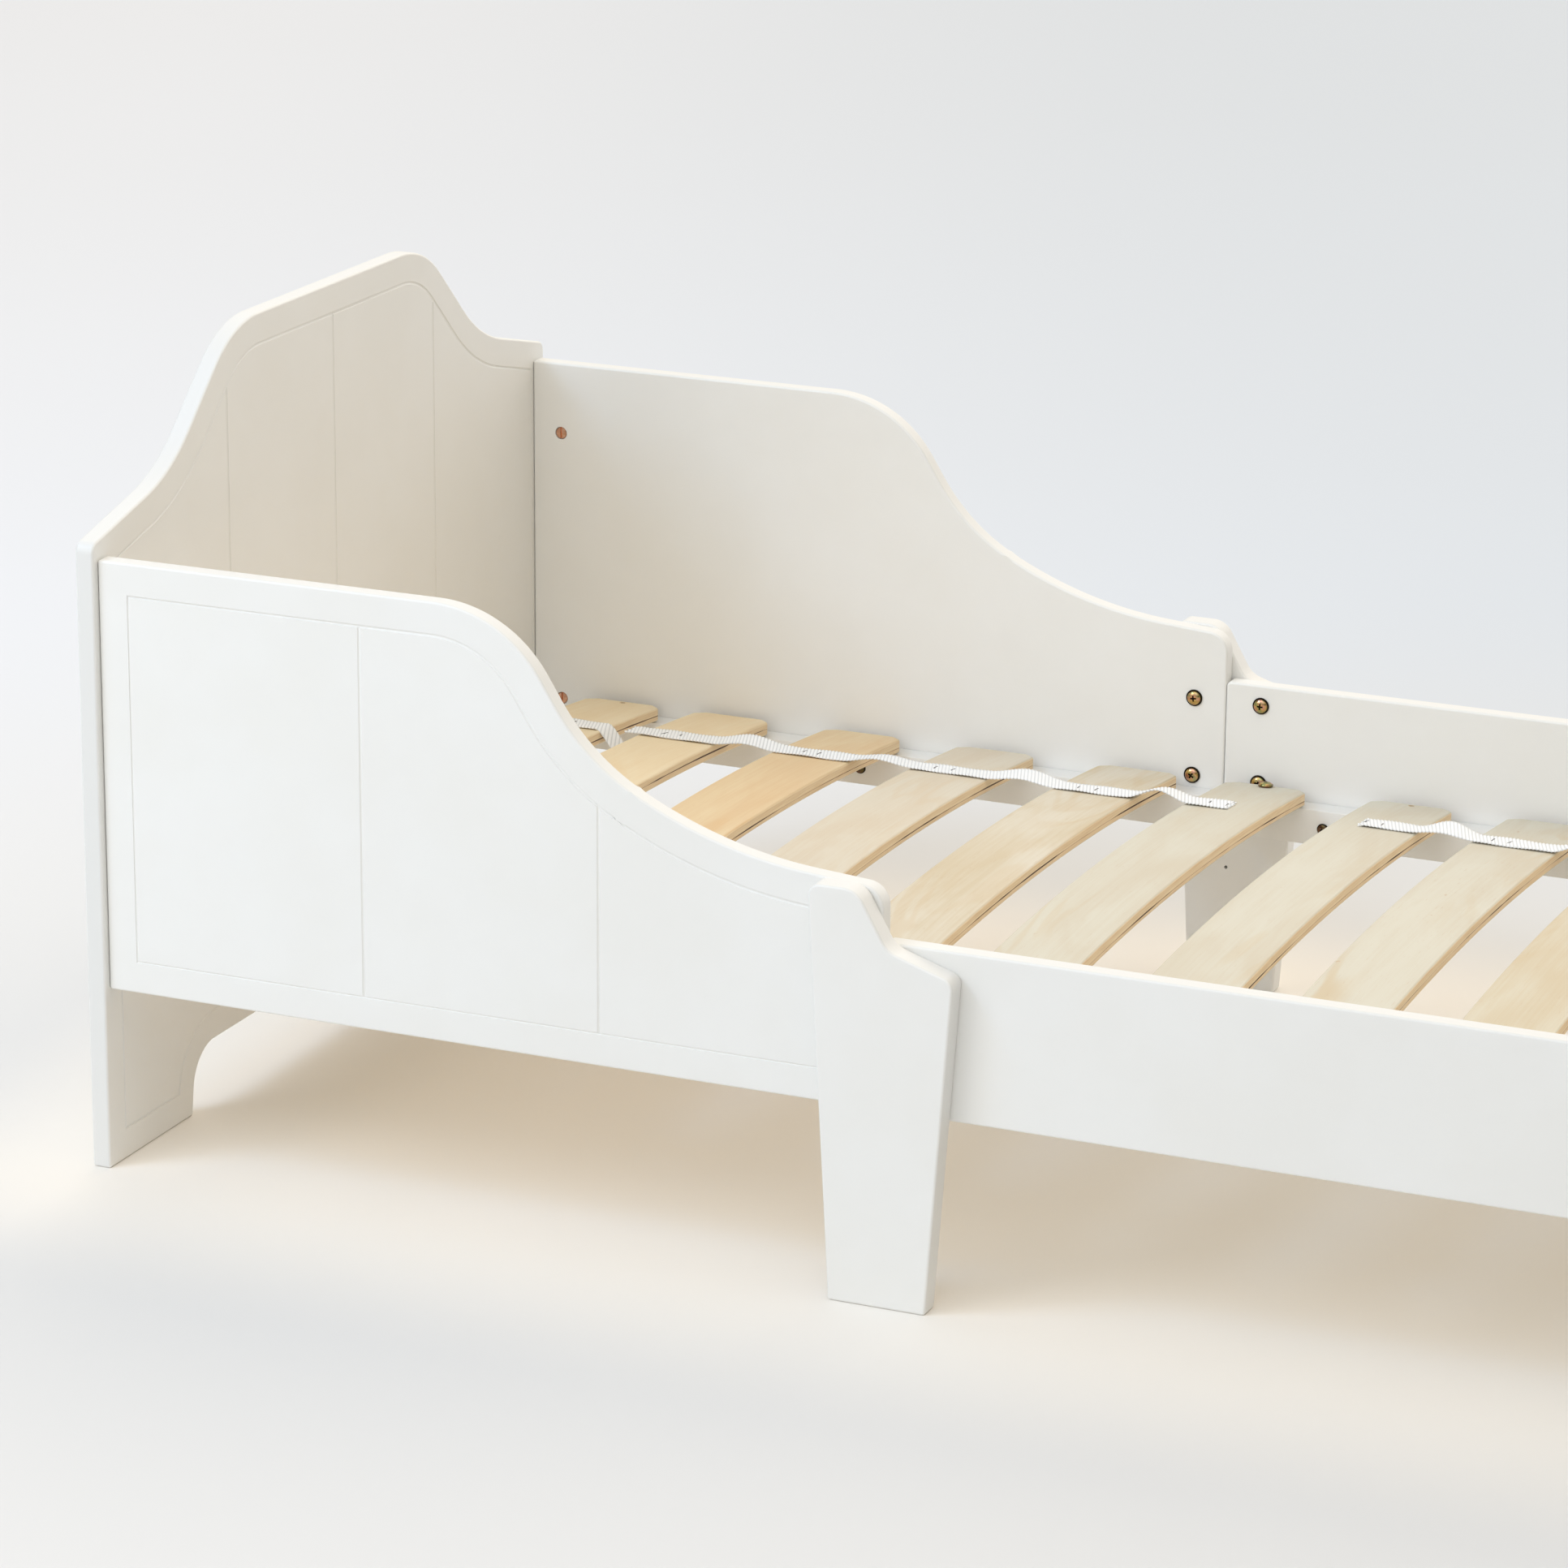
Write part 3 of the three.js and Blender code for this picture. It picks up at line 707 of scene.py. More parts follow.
def makeBirch(name, look, shift, slat):
    # slat gives the bend that the layers follow
    material, tree, shader = newMaterial(name, birch["pale"], IOR=1.45)
    place = tree.objectPlace()
    figure = tree.group(effects["figure"], Place=place, Shift=shift, Flame=look["flame"],
                        Pores=look["pores"])
    pale, deep = look["pale"], look["deep"]
    face = tree.mix(tree.ramp(figure["Cloud"], 0.36, 0.66), (*pale, 1), (*deep, 1))
    flameColor = [channel * share for channel, share in zip(deep, (0.96, 0.84, 0.66))]
    face = tree.mix(figure["Flame"], face, (*flameColor, 1))
    face = tree.mix(tree.times(figure["Pore"], 0.6), face, (*birch["pore"], 1))
    layers = tree.group(effects["ply"], Place=place, Base=slat["base"], Rise=slat["rise"],
                        Thickness=slat["thickness"], Plies=slat["plies"],
                        **{"Half Length": slat["halfLength"], "Open Line": look["openLine"]})
    fibre = tree.ramp(layers["Veneer"], 0.42, 0.68, 0.0, 0.55)
    veneer = tree.mix(fibre, (*birch["sawn"], 1), (*birch["cross"], 1))
    cross = tree.mix(tree.times(layers["Cross"], 0.22), veneer, (*birch["cross"], 1))
    sawn = tree.mix(tree.times(layers["Glue"], 0.30), cross, (*birch["glue"], 1))
    # the open gap goes from glue brown to near-black as it opens: painted shade inside the gap
    gap = tree.mix(layers["Gap Depth"], (*birch["glue"], 1), (*birch["gap"], 1))
    sawn = tree.mix(layers["Gap"], sawn, gap)
    normal = tree.parts(tree.nodes.new("ShaderNodeTexCoord").outputs["Normal"])
    endFace = tree.ramp(tree.math("ABSOLUTE", normal[1]), 0.45, 0.85)
    sawn = tree.mix(tree.times(endFace, 0.45), sawn, (*birch["endGrain"], 1))
    side = tree.ramp(tree.math("ABSOLUTE", normal[2]), 0.35, 0.62, 1.0, 0.0)
    tree.plug(shader["Base Color"], tree.mix(side, face, sawn))
    rough = tree.ramp(figure["Cloud"], 0.3, 0.7, *birch["rough"])
    tree.plug(shader["Roughness"], tree.plus(rough, tree.times(side, 0.15)))
    carved = tree.times(tree.plus(layers["Gap"], tree.times(layers["Veneer"], 0.3)), side)
    height = tree.minus(figure["Height"], tree.times(carved, 1.6))
    tree.plug(shader["Normal"], tree.bump(height, 0.2, 0.0003))
    return material


def makeWebbing():
    material, tree, shader = newMaterial("whiteTwill", (0.92, 0.92, 0.92), IOR=1.4)
    place = tree.objectPlace()
    twill = tree.group(effects["twill"], Place=place, Lean=0.35)
    # rib troughs are painted darker: painted shade in the creases between ribs
    color = tree.mix(tree.ramp(twill["Rib"], 0.08, 0.5), (0.74, 0.75, 0.76, 1), (0.97, 0.98, 0.985, 1))
    color = tree.mix(tree.times(twill["Yarn"], 0.15), color, (0.80, 0.80, 0.80, 1))
    tree.plug(shader["Base Color"], color)
    tree.plug(shader["Roughness"], tree.ramp(twill["Yarn"], 0.0, 0.6, 0.75, 0.95))
    tree.plug(shader["Normal"], tree.bump(twill["Height"], 0.3, 0.0003))
    return material


def makeZinc(name, gold, rose, green):
    # the mask on the piece darkens rims as a painted reflection of dark surroundings and the cross
    # recess as painted shade
    material, tree, shader = newMaterial(name, gold, Metallic=1.0)
    bloom = tree.group(effects["zinc"], Place=tree.objectPlace(), Gold=(*gold, 1), Rose=(*rose, 1),
                       Green=(*green, 1))
    soot = tree.nodes.new("ShaderNodeAttribute")
    soot.attribute_name = "soot"
    dark = tree.mix(soot.outputs["Fac"], bloom["Color"], (0.022, 0.018, 0.012, 1))
    tree.plug(shader["Base Color"], dark)
    tree.plug(shader["Roughness"], bloom["Rough"])
    tree.plug(shader["Normal"], tree.bump(bloom["Height"], 0.12, 0.0001))
    return material


def makeStapleWire():
    material, tree, shader = newMaterial("stapleWire", (0.2, 0.2, 0.2), Metallic=1.0)
    bloom = tree.group(effects["zinc"], Place=tree.objectPlace(), Gold=(0.16, 0.16, 0.17, 1),
                       Rose=(0.22, 0.21, 0.21, 1), Green=(0.10, 0.10, 0.11, 1))
    tree.plug(shader["Base Color"], bloom["Color"])
    tree.plug(shader["Roughness"], bloom["Rough"])
    return material


endPaint = makePaint("satinWhiteEnds", 0)
sidePaint = makePaint("satinWhiteSides", 1)
webbing = makeWebbing()
yellowZinc = makeZinc("yellowZinc", (0.60, 0.42, 0.15), (0.66, 0.35, 0.24), (0.30, 0.34, 0.15))
copperZinc = makeZinc("copperZinc", (0.70, 0.40, 0.27), (0.78, 0.50, 0.38), (0.56, 0.30, 0.20))
stapleWire = makeStapleWire()
print("finishes ready")


# end boards
softEdge = 2.0 * mm
groove = {"inset": 24.5 * mm, "radius": 1.7 * mm, "lift": 0.9 * mm}
boreWidth = {"bolt": 6 * mm, "screw": 6 * mm}
endBoard = {
    "strips": 13,
    "crownRise": 95 * mm,
    "crownRun": 101 * mm,
    "shoulderRise": 29 * mm,
    "shoulderRun": 119 * mm,
    "crownRadius": 100 * mm,
    "kneeRadius": 150 * mm,
    "cornerRadius": 9 * mm,
    "footWidth": 128 * mm,
    "archHeight": 51.5 * mm,
    "archLean": 7 * mm,
    "archRadius": 34 * mm,
    "uprightSpacing": 173 * mm,
    "outerUprightDrop": 2.5 * mm,
}


def endOutline(half, height):
    shape = endBoard
    knee = height - shape["crownRise"]
    kneeY = half - shape["shoulderRun"]
    crownY = kneeY - shape["crownRun"]
    archY = half - shape["footWidth"] - shape["archLean"]
    right = [
        (archY, shape["archHeight"], shape["archRadius"]),
        (half - shape["footWidth"], 0),
        (half, 0),
        (half, knee - shape["shoulderRise"], shape["cornerRadius"]),
        (kneeY, knee, shape["kneeRadius"]),
        (crownY, height, shape["crownRadius"]),
    ]
    return right + [(-corner[0], *corner[1:]) for corner in reversed(right)]


def heightAt(corners, u):
    # highest and lowest crossing of an outline's straight runs at u, rounds left aside
    crossings = []
    for i, corner in enumerate(corners):
        u0, v0 = corners[i - 1][:2]
        u1, v1 = corner[:2]
        if min(u0, u1) <= u < max(u0, u1):
            crossings.append(v0 + (v1 - v0) * (u - u0) / (u1 - u0))
    return min(crossings), max(crossings)


def makeEndBoard(name, node, facing):
    # facing is +1 or -1 along X: the side that carries the grooves
    low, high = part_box(node)
    corners = endOutline(high.y, high.z)
    back = low.x if facing > 0 else high.x
    front = high.x if facing > 0 else low.x
    piece = cutBoard(name, corners, lambda u, v: Vector((back, u, v)),
                     Vector((front - back, 0, 0)), softEdge)
    splitBoard(piece, (0, 1, 0), low.y, high.y, endBoard["strips"])
    plane = front + facing * groove["lift"]
    frameLine = insetCorners(corners, groove["inset"])
    tool = drawOutline("cutter", frameLine, lambda u, v: Vector((plane, u, v)))
    millGroove(piece, tool, groove["radius"])
    for y in (-endBoard["uprightSpacing"], 0.0, endBoard["uprightSpacing"]):
        bottom, top = heightAt(frameLine, y + 0.01 * mm)
        if y:
            top -= endBoard["outerUprightDrop"]
        millStraight(piece, Vector((plane, y, bottom)), Vector((plane, y, top)), groove["radius"])
    boreFor(piece, "connector_bolt", "head" if node == "headboard" else "foot")
    finishPiece(piece, endPaint, "white_paint", node)


makeEndBoard("headboardPanel", "headboard", 1)
makeEndBoard("footboardPanel", "footboard", 1)
print("end boards ready")


# side panels, rails and legs
sidePanel = {
    "strips": 9,
    "lowStep": 39 * mm,
    "endFall": 10 * mm,
    "crownRadius": 102 * mm,
    "hollowRadius": 165 * mm,
    "runRadius": 350 * mm,
    "endRadius": 17 * mm,
    "headRadius": 2 * mm,
    "grooveExtra": 0.5 * mm,
    "crownBack": 297 * mm,
    "hollowBack": 233 * mm,
    "runBack": 129.5 * mm,
    "hollowShare": 0.61,
    "uprights": (216 * mm, 407 * mm),
}


def sideOutline(low, high, railTop):
    shape = sidePanel
    lowTop = railTop + shape["lowStep"]
    hollow = high.z - (high.z - lowTop) * shape["hollowShare"]
    end = high.x
    return [
        (low.x, low.z), (end, low.z), (end, lowTop, shape["endRadius"]),
        (end - shape["runBack"], lowTop + shape["endFall"], shape["runRadius"]),
        (end - shape["hollowBack"], hollow, shape["hollowRadius"]),
        (end - shape["crownBack"], high.z, shape["crownRadius"]),
        (low.x, high.z, shape["headRadius"]),
    ]


def curveHeightAt(piece, x, floorZ):
    # top of a drawn outline at x, read from its own points
    points = sorted((v.co.x, v.co.z) for v in piece.data.vertices if v.co.z > floorZ)
    for (x0, z0), (x1, z1) in zip(points, points[1:]):
        if x0 <= x <= x1:
            return z0 + (z1 - z0) * (x - x0) / max(x1 - x0, 1e-9)
    return points[-1][1]


def makeSidePanel(side, sign):
    node = "side_panel_" + side
    low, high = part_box(node)
    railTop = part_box("foot_rail_" + side)[1].z
    corners = sideOutline(low, high, railTop)
    inner = low.y if sign > 0 else high.y
    outer = high.y if sign > 0 else low.y
    piece = cutBoard("sidePanel" + side.title(), corners, lambda u, v: Vector((u, inner, v)),
                     Vector((0, outer - inner, 0)), softEdge)
    splitBoard(piece, (1, 0, 0), low.x, high.x, sidePanel["strips"])
    plane = outer + sign * groove["lift"]
    frameLine = insetCorners(corners, groove["inset"] + sidePanel["grooveExtra"])
    tool = drawOutline("cutter", frameLine, lambda u, v: Vector((u, plane, v)))
    bpy.ops.object.mode_set(mode="OBJECT")
    uprights = []
    for along in sidePanel["uprights"]:
        x = low.x + along
        top = curveHeightAt(tool, x, low.z + 0.1)
        uprights.append((Vector((x, plane, frameLine[0][1])), Vector((x, plane, top))))
    millGroove(piece, tool, groove["radius"])
    for start, end in uprights:
        millStraight(piece, start, end, groove["radius"])
    boreFor(piece, "connector_bolt", "head_" + side)
    boreFor(piece, "barrel_nut", "head_" + side)
    boreFor(piece, "leg_screw", "panel_" + side)
    finishPiece(piece, sidePaint, "white_paint", node)


rail = {"footRadius": 2 * mm, "jointRadius": 4 * mm}


def makeRail(side):
    node = "foot_rail_" + side
    low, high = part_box(node)
    corners = [(low.x, low.z), (high.x, low.z), (high.x, high.z, rail["footRadius"]),
               (low.x, high.z, rail["jointRadius"])]
    piece = cutBoard("footRail" + side.title(), corners, lambda u, v: Vector((u, low.y, v)),
                     Vector((0, high.y - low.y, 0)), softEdge)
    boreFor(piece, "connector_bolt", "foot_" + side)
    boreFor(piece, "barrel_nut", "foot_" + side)
    boreFor(piece, "leg_screw", "rail_" + side)
    finishPiece(piece, sidePaint, "white_paint", node)


midLeg = {
    "headBack": 50.5 * mm,
    "footBack": 31.5 * mm,
    "footAhead": 43.5 * mm,
    "shoulderAhead": 60.8 * mm,
    "crownBack": 13 * mm,
    "kneeAhead": 11 * mm,
    "shoulderFall": 16 * mm,
    "cornerRadius": 9 * mm,
    "crownRadius": 18 * mm,
    "kneeRadius": 20 * mm,
    "pilot": {"back": 0.5 * mm, "height": 105 * mm, "diameter": 3 * mm, "depth": 8 * mm},
}


def makeLeg(side, sign):
    node = "mid_leg_" + side
    low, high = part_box(node)
    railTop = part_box("foot_rail_" + side)[1].z
    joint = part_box("side_panel_" + side)[1].x
    leg = midLeg
    corners = [
        (joint - leg["footBack"], 0), (joint + leg["footAhead"], 0),
        (joint + leg["shoulderAhead"], railTop - leg["shoulderFall"], leg["cornerRadius"]),
        (joint + leg["kneeAhead"], railTop, leg["kneeRadius"]),
        (joint - leg["crownBack"], high.z, leg["crownRadius"]),
        (joint - leg["headBack"], high.z, leg["cornerRadius"]),
    ]
    piece = cutBoard("midLeg" + side.title(), corners, lambda u, v: Vector((u, low.y, v)),
                     Vector((0, high.y - low.y, 0)), softEdge)
    boreFor(piece, "leg_screw", side)
    inner = low.y if sign > 0 else high.y
    pilot = leg["pilot"]
    drill(piece, Vector((joint - pilot["back"], inner, pilot["height"])), (0, 1, 0),
          pilot["diameter"], 2 * pilot["depth"])
    finishPiece(piece, sidePaint, "white_paint", node)


ledge = {
    "soft": 1.2 * mm,
    "screwDrop": 15.5 * mm,
    "screwSpots": {"head": (35 * mm, 274 * mm, 513 * mm),
                   "foot": (83.5 * mm, 392 * mm, 701 * mm)},
}


def makeLedge(end, side):
    node = f"slat_ledge_{end}_{side}"
    low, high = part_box(node)
    corners = [(low.x, low.z), (high.x, low.z), (high.x, high.z), (low.x, high.z)]
    piece = cutBoard(f"slatLedge{end.title()}{side.title()}", corners,
                     lambda u, v: Vector((u, low.y, v)), Vector((0, high.y - low.y, 0)),
                     ledge["soft"], 2)
    finishPiece(piece, sidePaint, "white_paint", node)


sides = {"front": -1, "back": 1}
for side, sign in sides.items():
    makeSidePanel(side, sign)
    makeRail(side)
    makeLeg(side, sign)
    for end in ("head", "foot"):
        makeLedge(end, side)
print("sides, rails, legs and ledges ready")


# slats
slat = {
    "rise": 20 * mm,
    "thickness": 11.5 * mm,
    "corner": 9 * mm,
    "cornerRound": 5 * mm,
    "soft": 1.8 * mm,
    "cuts": 30,
    "screwInset": 7 * mm,
    "holeDiameter": 5.2 * mm,
    "holeDepth": 60 * mm,
    "plies": 5.0,
    "halfLength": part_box("slat_01")[1].y,
    "base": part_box("slat_01")[0].z,
}
# one entry for each slat, from the head end: veneer colours, figure, and where the glue opens
wheatPale, wheatDeep = (0.86, 0.725, 0.50), (0.82, 0.66, 0.43)
creamPale, creamDeep = (0.70, 0.635, 0.515), (0.67, 0.575, 0.44)
milkPale, milkDeep = (0.655, 0.62, 0.515), (0.625, 0.56, 0.44)
honeyPale, honeyDeep = (0.77, 0.61, 0.38), (0.72, 0.52, 0.30)
strawPale, strawDeep = (0.66, 0.60, 0.465), (0.63, 0.53, 0.37)
slatLooks = [
    (wheatPale, wheatDeep, 0.2, 0.5, 0.40), (wheatPale, wheatDeep, 0.2, 0.4, 0.50),
    (honeyPale, honeyDeep, 0.8, 0.4, 0.36), (creamPale, creamDeep, 0.2, 0.5, 0.38),
    (creamPale, strawDeep, 0.3, 0.7, 0.42), (milkPale, milkDeep, 0.3, 0.6, 0.36),
    (milkPale, milkDeep, 0.3, 0.5, 0.38), (milkPale, milkDeep, 0.7, 0.8, 0.46),
    (strawPale, strawDeep, 0.2, 0.6, 0.38), (milkPale, milkDeep, 0.4, 0.4, 0.36),
    (milkPale, strawPale, 0.6, 0.5, 0.36), (milkPale, milkDeep, 0.3, 0.6, 0.48),
]
slatLooks = [dict(zip(("pale", "deep", "flame", "pores", "openLine"), look)) for look in slatLooks]


def slatLift(y):
    return slat["rise"] * (1 - (y / slat["halfLength"]) ** 2)


def makeSlatMaster(name, bored):
    # modelled about its own middle, flat, then bent ring by ring
    low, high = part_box("slat_01")
    halfX = (high.x - low.x) / 2
    half = slat["halfLength"]
    clip, eased = slat["corner"], slat["cornerRound"]
    quarter = [(halfX, half - clip, eased), (halfX - clip, half, eased)]
    corners = quarter + [(-u, v, r) for u, v, r in reversed(quarter)]
    corners += [(-u, -v, r) for u, v, r in corners]
    piece = cutBoard(name, corners, lambda u, v: Vector((u, v, slat["base"])),
                     Vector((0, 0, slat["thickness"])), slat["soft"], 4)
    editMode(piece)
    reach = half - 1.2 * slat["corner"]
    for k in range(slat["cuts"] + 1):
        bpy.ops.mesh.select_all(action="SELECT")
        y = reach * (2 * k / slat["cuts"] - 1)
        bpy.ops.mesh.bisect(plane_co=(0, y, 0), plane_no=(0, 1, 0))
    bpy.ops.object.mode_set(mode="OBJECT")
    rings = sorted({round(v.co.y, 6) for v in piece.data.vertices})
    bpy.ops.object.mode_set(mode="EDIT")
    for y in rings:
        pick("VERT", lambda v: abs(v.co.y - y) < 1e-6)
        bpy.ops.transform.translate(value=(0, 0, slatLift(y)))
    bpy.ops.object.mode_set(mode="OBJECT")
    if bored:
        for sign in (-1, 1):
            y = sign * (half - slat["screwInset"])
            drill(piece, Vector((0, y, slat["base"])), (0, 0, 1), slat["holeDiameter"],
                  slat["holeDepth"])
    return piece


plainSlat = makeSlatMaster("plainSlat", False)
boredSlat = makeSlatMaster("boredSlat", True)
for master in (plainSlat, boredSlat):
    smooth(master, 40)
slatMiddles = []
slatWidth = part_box("slat_01")[1].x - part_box("slat_01")[0].x
for number, look in enumerate(slatLooks, 1):
    node = f"slat_{number:02d}"
    low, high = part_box(node)
    middle = (low.x + high.x) / 2
    slatMiddles.append(middle)
    master = boredSlat if number in (1, 6, 7, 12) else plainSlat
    piece = copyTo(master, f"bentSlat{number:02d}", Matrix.Translation((middle, 0, 0)))
    shift = (number * 1.7, number * 0.61, number * 0.37)
    finishPiece(piece, makeBirch(f"birchPly{number:02d}", look, shift, slat), "birch_ply", node,
                shade=0)
remove(plainSlat)
remove(boredSlat)
print("slats ready")


# webbing tapes and staples
tape = {
    "width": 25 * mm,
    "thickness": 1.0 * mm,
    "step": 0.45 * mm,
    "acrossSteps": 10,
    "inset": 101 * mm,
    "ribPitch": 3.0 * mm,
    "ribLean": 0.35,
    "ribHeight": 0.75 * mm,
    "clearance": 0.2 * mm,
    "easing": 5 * mm,
    "frayReach": 3.5 * mm,
    "frayCount": 16,
    "threadRadius": 0.55 * mm,
    "runSteps": 200,
}
# by slat: sideways drift, then by gap: hump or dip of the slack and its twist, mm and degrees
tapeSlack = {
    "head": {"drift": (-12, -9, -8, -3, -5, 3), "lift": (0, 3.0, 2.6, 3.0, 5.0),
             "twist": (0, 7, -5, 8, -9)},
    "foot": {"drift": (6, 1, -3, 2, -2, 1), "lift": (3.0, 5.5, -2, 3.5, 2.0),
             "twist": (9, -10, 5, -6, 7)},
}
# the head tape is cut after its first slat and starts again on the second; reaches in mm
tapeCuts = {
    "head": ({"slats": (0, 0), "before": 14, "after": 53, "fall": -21, "ribs": 0.35},
             {"slats": (1, 5), "before": 44, "after": 0, "fall": 0, "ribs": 1.0}),
    "foot": ({"slats": (0, 5), "before": 11, "after": 12, "fall": 0, "ribs": 1.0},),
}


def blendAlong(stations, x):
    # smooth value at x through stations (x, value)
    if x <= stations[0][0]:
        return stations[0][1]
    for (x0, a), (x1, b) in zip(stations, stations[1:]):
        if x <= x1:
            t = (x - x0) / (x1 - x0)
            t = t * t * (3 - 2 * t)
            return a + (b - a) * t
    return stations[-1][1]


def tapeStations(end, cut):
    # lift, drift and twist along one length of tape
    first, last = cut["slats"]
    middles = (slatMiddles[:6] if end == "head" else slatMiddles[6:])[first:last + 1]
    slack = tapeSlack[end]
    flat = slatWidth / 2 - tape["easing"]
    start = middles[0] - cut["before"] * mm
    stop = middles[-1] + cut["after"] * mm
    lift, twist = [], []
    for i, middle in enumerate(middles):
        lift += [(middle - flat, 0.0), (middle + flat, 0.0)]
        twist += [(middle - flat, 0.0), (middle + flat, 0.0)]
        if i < len(middles) - 1:
            between = (middle + middles[i + 1]) / 2
            lift.append((between, slack["lift"][first + i] * mm))
            twist.append((between, math.radians(slack["twist"][first + i])))
    if cut["fall"]:
        lift.append((stop, cut["fall"] * mm))
    drift = [(middle, slack["drift"][first + i] * mm) for i, middle in enumerate(middles)]
    return {"middles": middles, "lift": lift, "twist": twist, "drift": drift,
            "start": start, "stop": stop, "ribs": cut["ribs"]}


def weaveRibbon(way, middleY, sign):
    length = way["stop"] - way["start"]
    count = round(length / tape["step"])
    deselectAll()
    bpy.ops.mesh.primitive_grid_add(x_subdivisions=count, y_subdivisions=tape["acrossSteps"], size=1)
    piece = bpy.context.object
    bpy.ops.object.mode_set(mode="EDIT")
    bpy.ops.mesh.select_all(action="SELECT")
    bpy.ops.transform.resize(value=(length, tape["width"], 1))
    bpy.ops.transform.translate(value=((way["start"] + way["stop"]) / 2, 0, 0))
    bpy.ops.object.mode_set(mode="OBJECT")
    topOfSlat = slat["base"] + slat["thickness"] + tape["clearance"]
    half = tape["width"] / 2
    for vertex in piece.data.vertices:
        x, across = vertex.co.x, vertex.co.y
        rib = 0.5 + 0.5 * math.sin(math.tau * (x + tape["ribLean"] * across) / tape["ribPitch"])
        edge = abs(across) / half
        spread = 1 + 0.03 * math.sin(x * 47) + 0.02 * rib * way["ribs"]
        turn = blendAlong(way["twist"], x)
        y = middleY + sign * blendAlong(way["drift"], x) + across * spread * math.cos(turn)
        rise = blendAlong(way["lift"], x) + across * math.sin(turn) + half * abs(math.sin(turn))
        ripple = 0.35 * mm * edge * (1 + math.sin(x * 131 + 2 * across / half))
        height = tape["ribHeight"] * way["ribs"] * rib ** 0.7
        vertex.co = (x, y, topOfSlat + slatLift(y) + rise + ripple + height)
    thick = piece.modifiers.new("cloth", "SOLIDIFY")
    thick.thickness = tape["thickness"]
    thick.offset = 1.0
    applyAll(piece)
    return piece


def frayEnd(way, middleY, sign, atStop, dice):
    # loose warp threads past a cut end, each a short bent tube
    threads = []
    x = way["stop"] if atStop else way["start"]
    outward = 1 if atStop else -1
    for k in range(tape["frayCount"]):
        across = tape["width"] * ((k + 0.5) / tape["frayCount"] - 0.5)
        y = middleY + sign * blendAlong(way["drift"], x) + across
        z = slat["base"] + slat["thickness"] + slatLift(y) + blendAlong(way["lift"], x)
        pen = Vector((x - outward * 0.8 * mm, y, z + 0.9 * mm))
        piece = startPen("thread", pen)
        heading = Vector((outward, dice.uniform(-0.5, 0.5), dice.uniform(-0.05, 0.35)))
        for _ in range(4):
            there = pen + heading * tape["frayReach"] / 4 * dice.uniform(0.6, 1.2)
            there.z = max(there.z, z + 0.5 * mm)
            penTo(pen, there)
            pen = there
            heading += Vector((0, dice.uniform(-0.5, 0.5), dice.uniform(-0.45, 0.25)))
        bpy.ops.object.mode_set(mode="OBJECT")
        bpy.ops.object.convert(target="CURVE")
        piece = bpy.context.object
        piece.data.bevel_depth = tape["threadRadius"]
        piece.data.bevel_resolution = 1
        piece.data.use_fill_caps = True
        bpy.ops.object.convert(target="MESH")
        threads.append(bpy.context.object)
    return threads


def makeTape(end, sideName, sign):
    middleY = sign * (slat["halfLength"] - tape["inset"])
    dice = random.Random(f"{end} {sideName}")
    parts, ways = [], []
    for cut in tapeCuts[end]:
        way = tapeStations(end, cut)
        ways.append(way)
        parts.append(weaveRibbon(way, middleY, sign))
        for atStop in (False, True):
            parts += frayEnd(way, middleY, sign, atStop, dice)
    activate(parts[0])
    for part in parts[1:]:
        part.select_set(True)
    bpy.ops.object.join()
    piece = bpy.context.object
    piece.name = f"webbingTape{end.title()}{sideName.title()}"
    closeUp(piece)
    finishPiece(piece, webbing, "webbing", f"webbing_tape_{end}_{sideName}", shade=0)
    activate(piece)
    bpy.ops.object.shade_smooth()
    return ways, middleY


staple = {
    "crown": 9 * mm,
    "wire": 1.1 * mm,
    "thickness": 0.6 * mm,
    "legDrop": 0.5 * mm,
    "stand": 0.7 * mm,
    "spread": 15 * mm,
    "tilt": -6.0,
    "middle": {"head": (-4, -8, -3, -8, -8, -9), "foot": (-4, -12, -6, -3, -7, -5)},
}


def makeStapleMaster():
    # a crown of flat wire whose two ends turn down into the tape
    deselectAll()
    bpy.ops.mesh.primitive_cube_add(size=1)
    piece = bpy.context.object
    piece.name = "stapleMaster"
    bpy.ops.object.mode_set(mode="EDIT")
    bpy.ops.mesh.select_all(action="SELECT")
    bpy.ops.transform.resize(value=(staple["wire"], staple["crown"] - 2 * staple["wire"],
                                    staple["thickness"]))
    for sign in (-1, 1):
        pick("FACE", lambda f: f.normal.y * sign > 0.9)
        bpy.ops.mesh.extrude_region_move(
            TRANSFORM_OT_translate={"value": (0, sign * staple["wire"], -staple["legDrop"])})
    pick("EDGE", lambda e: abs(e.verts[0].co.z - e.verts[1].co.z) < 1e-6
         and e.verts[0].co.z > 0 and abs(e.verts[0].co.x - e.verts[1].co.x) < 1e-6)
    bpy.ops.mesh.bevel(offset=0.2 * mm, segments=2, affect="EDGES")
    bpy.ops.object.mode_set(mode="OBJECT")
    return piece


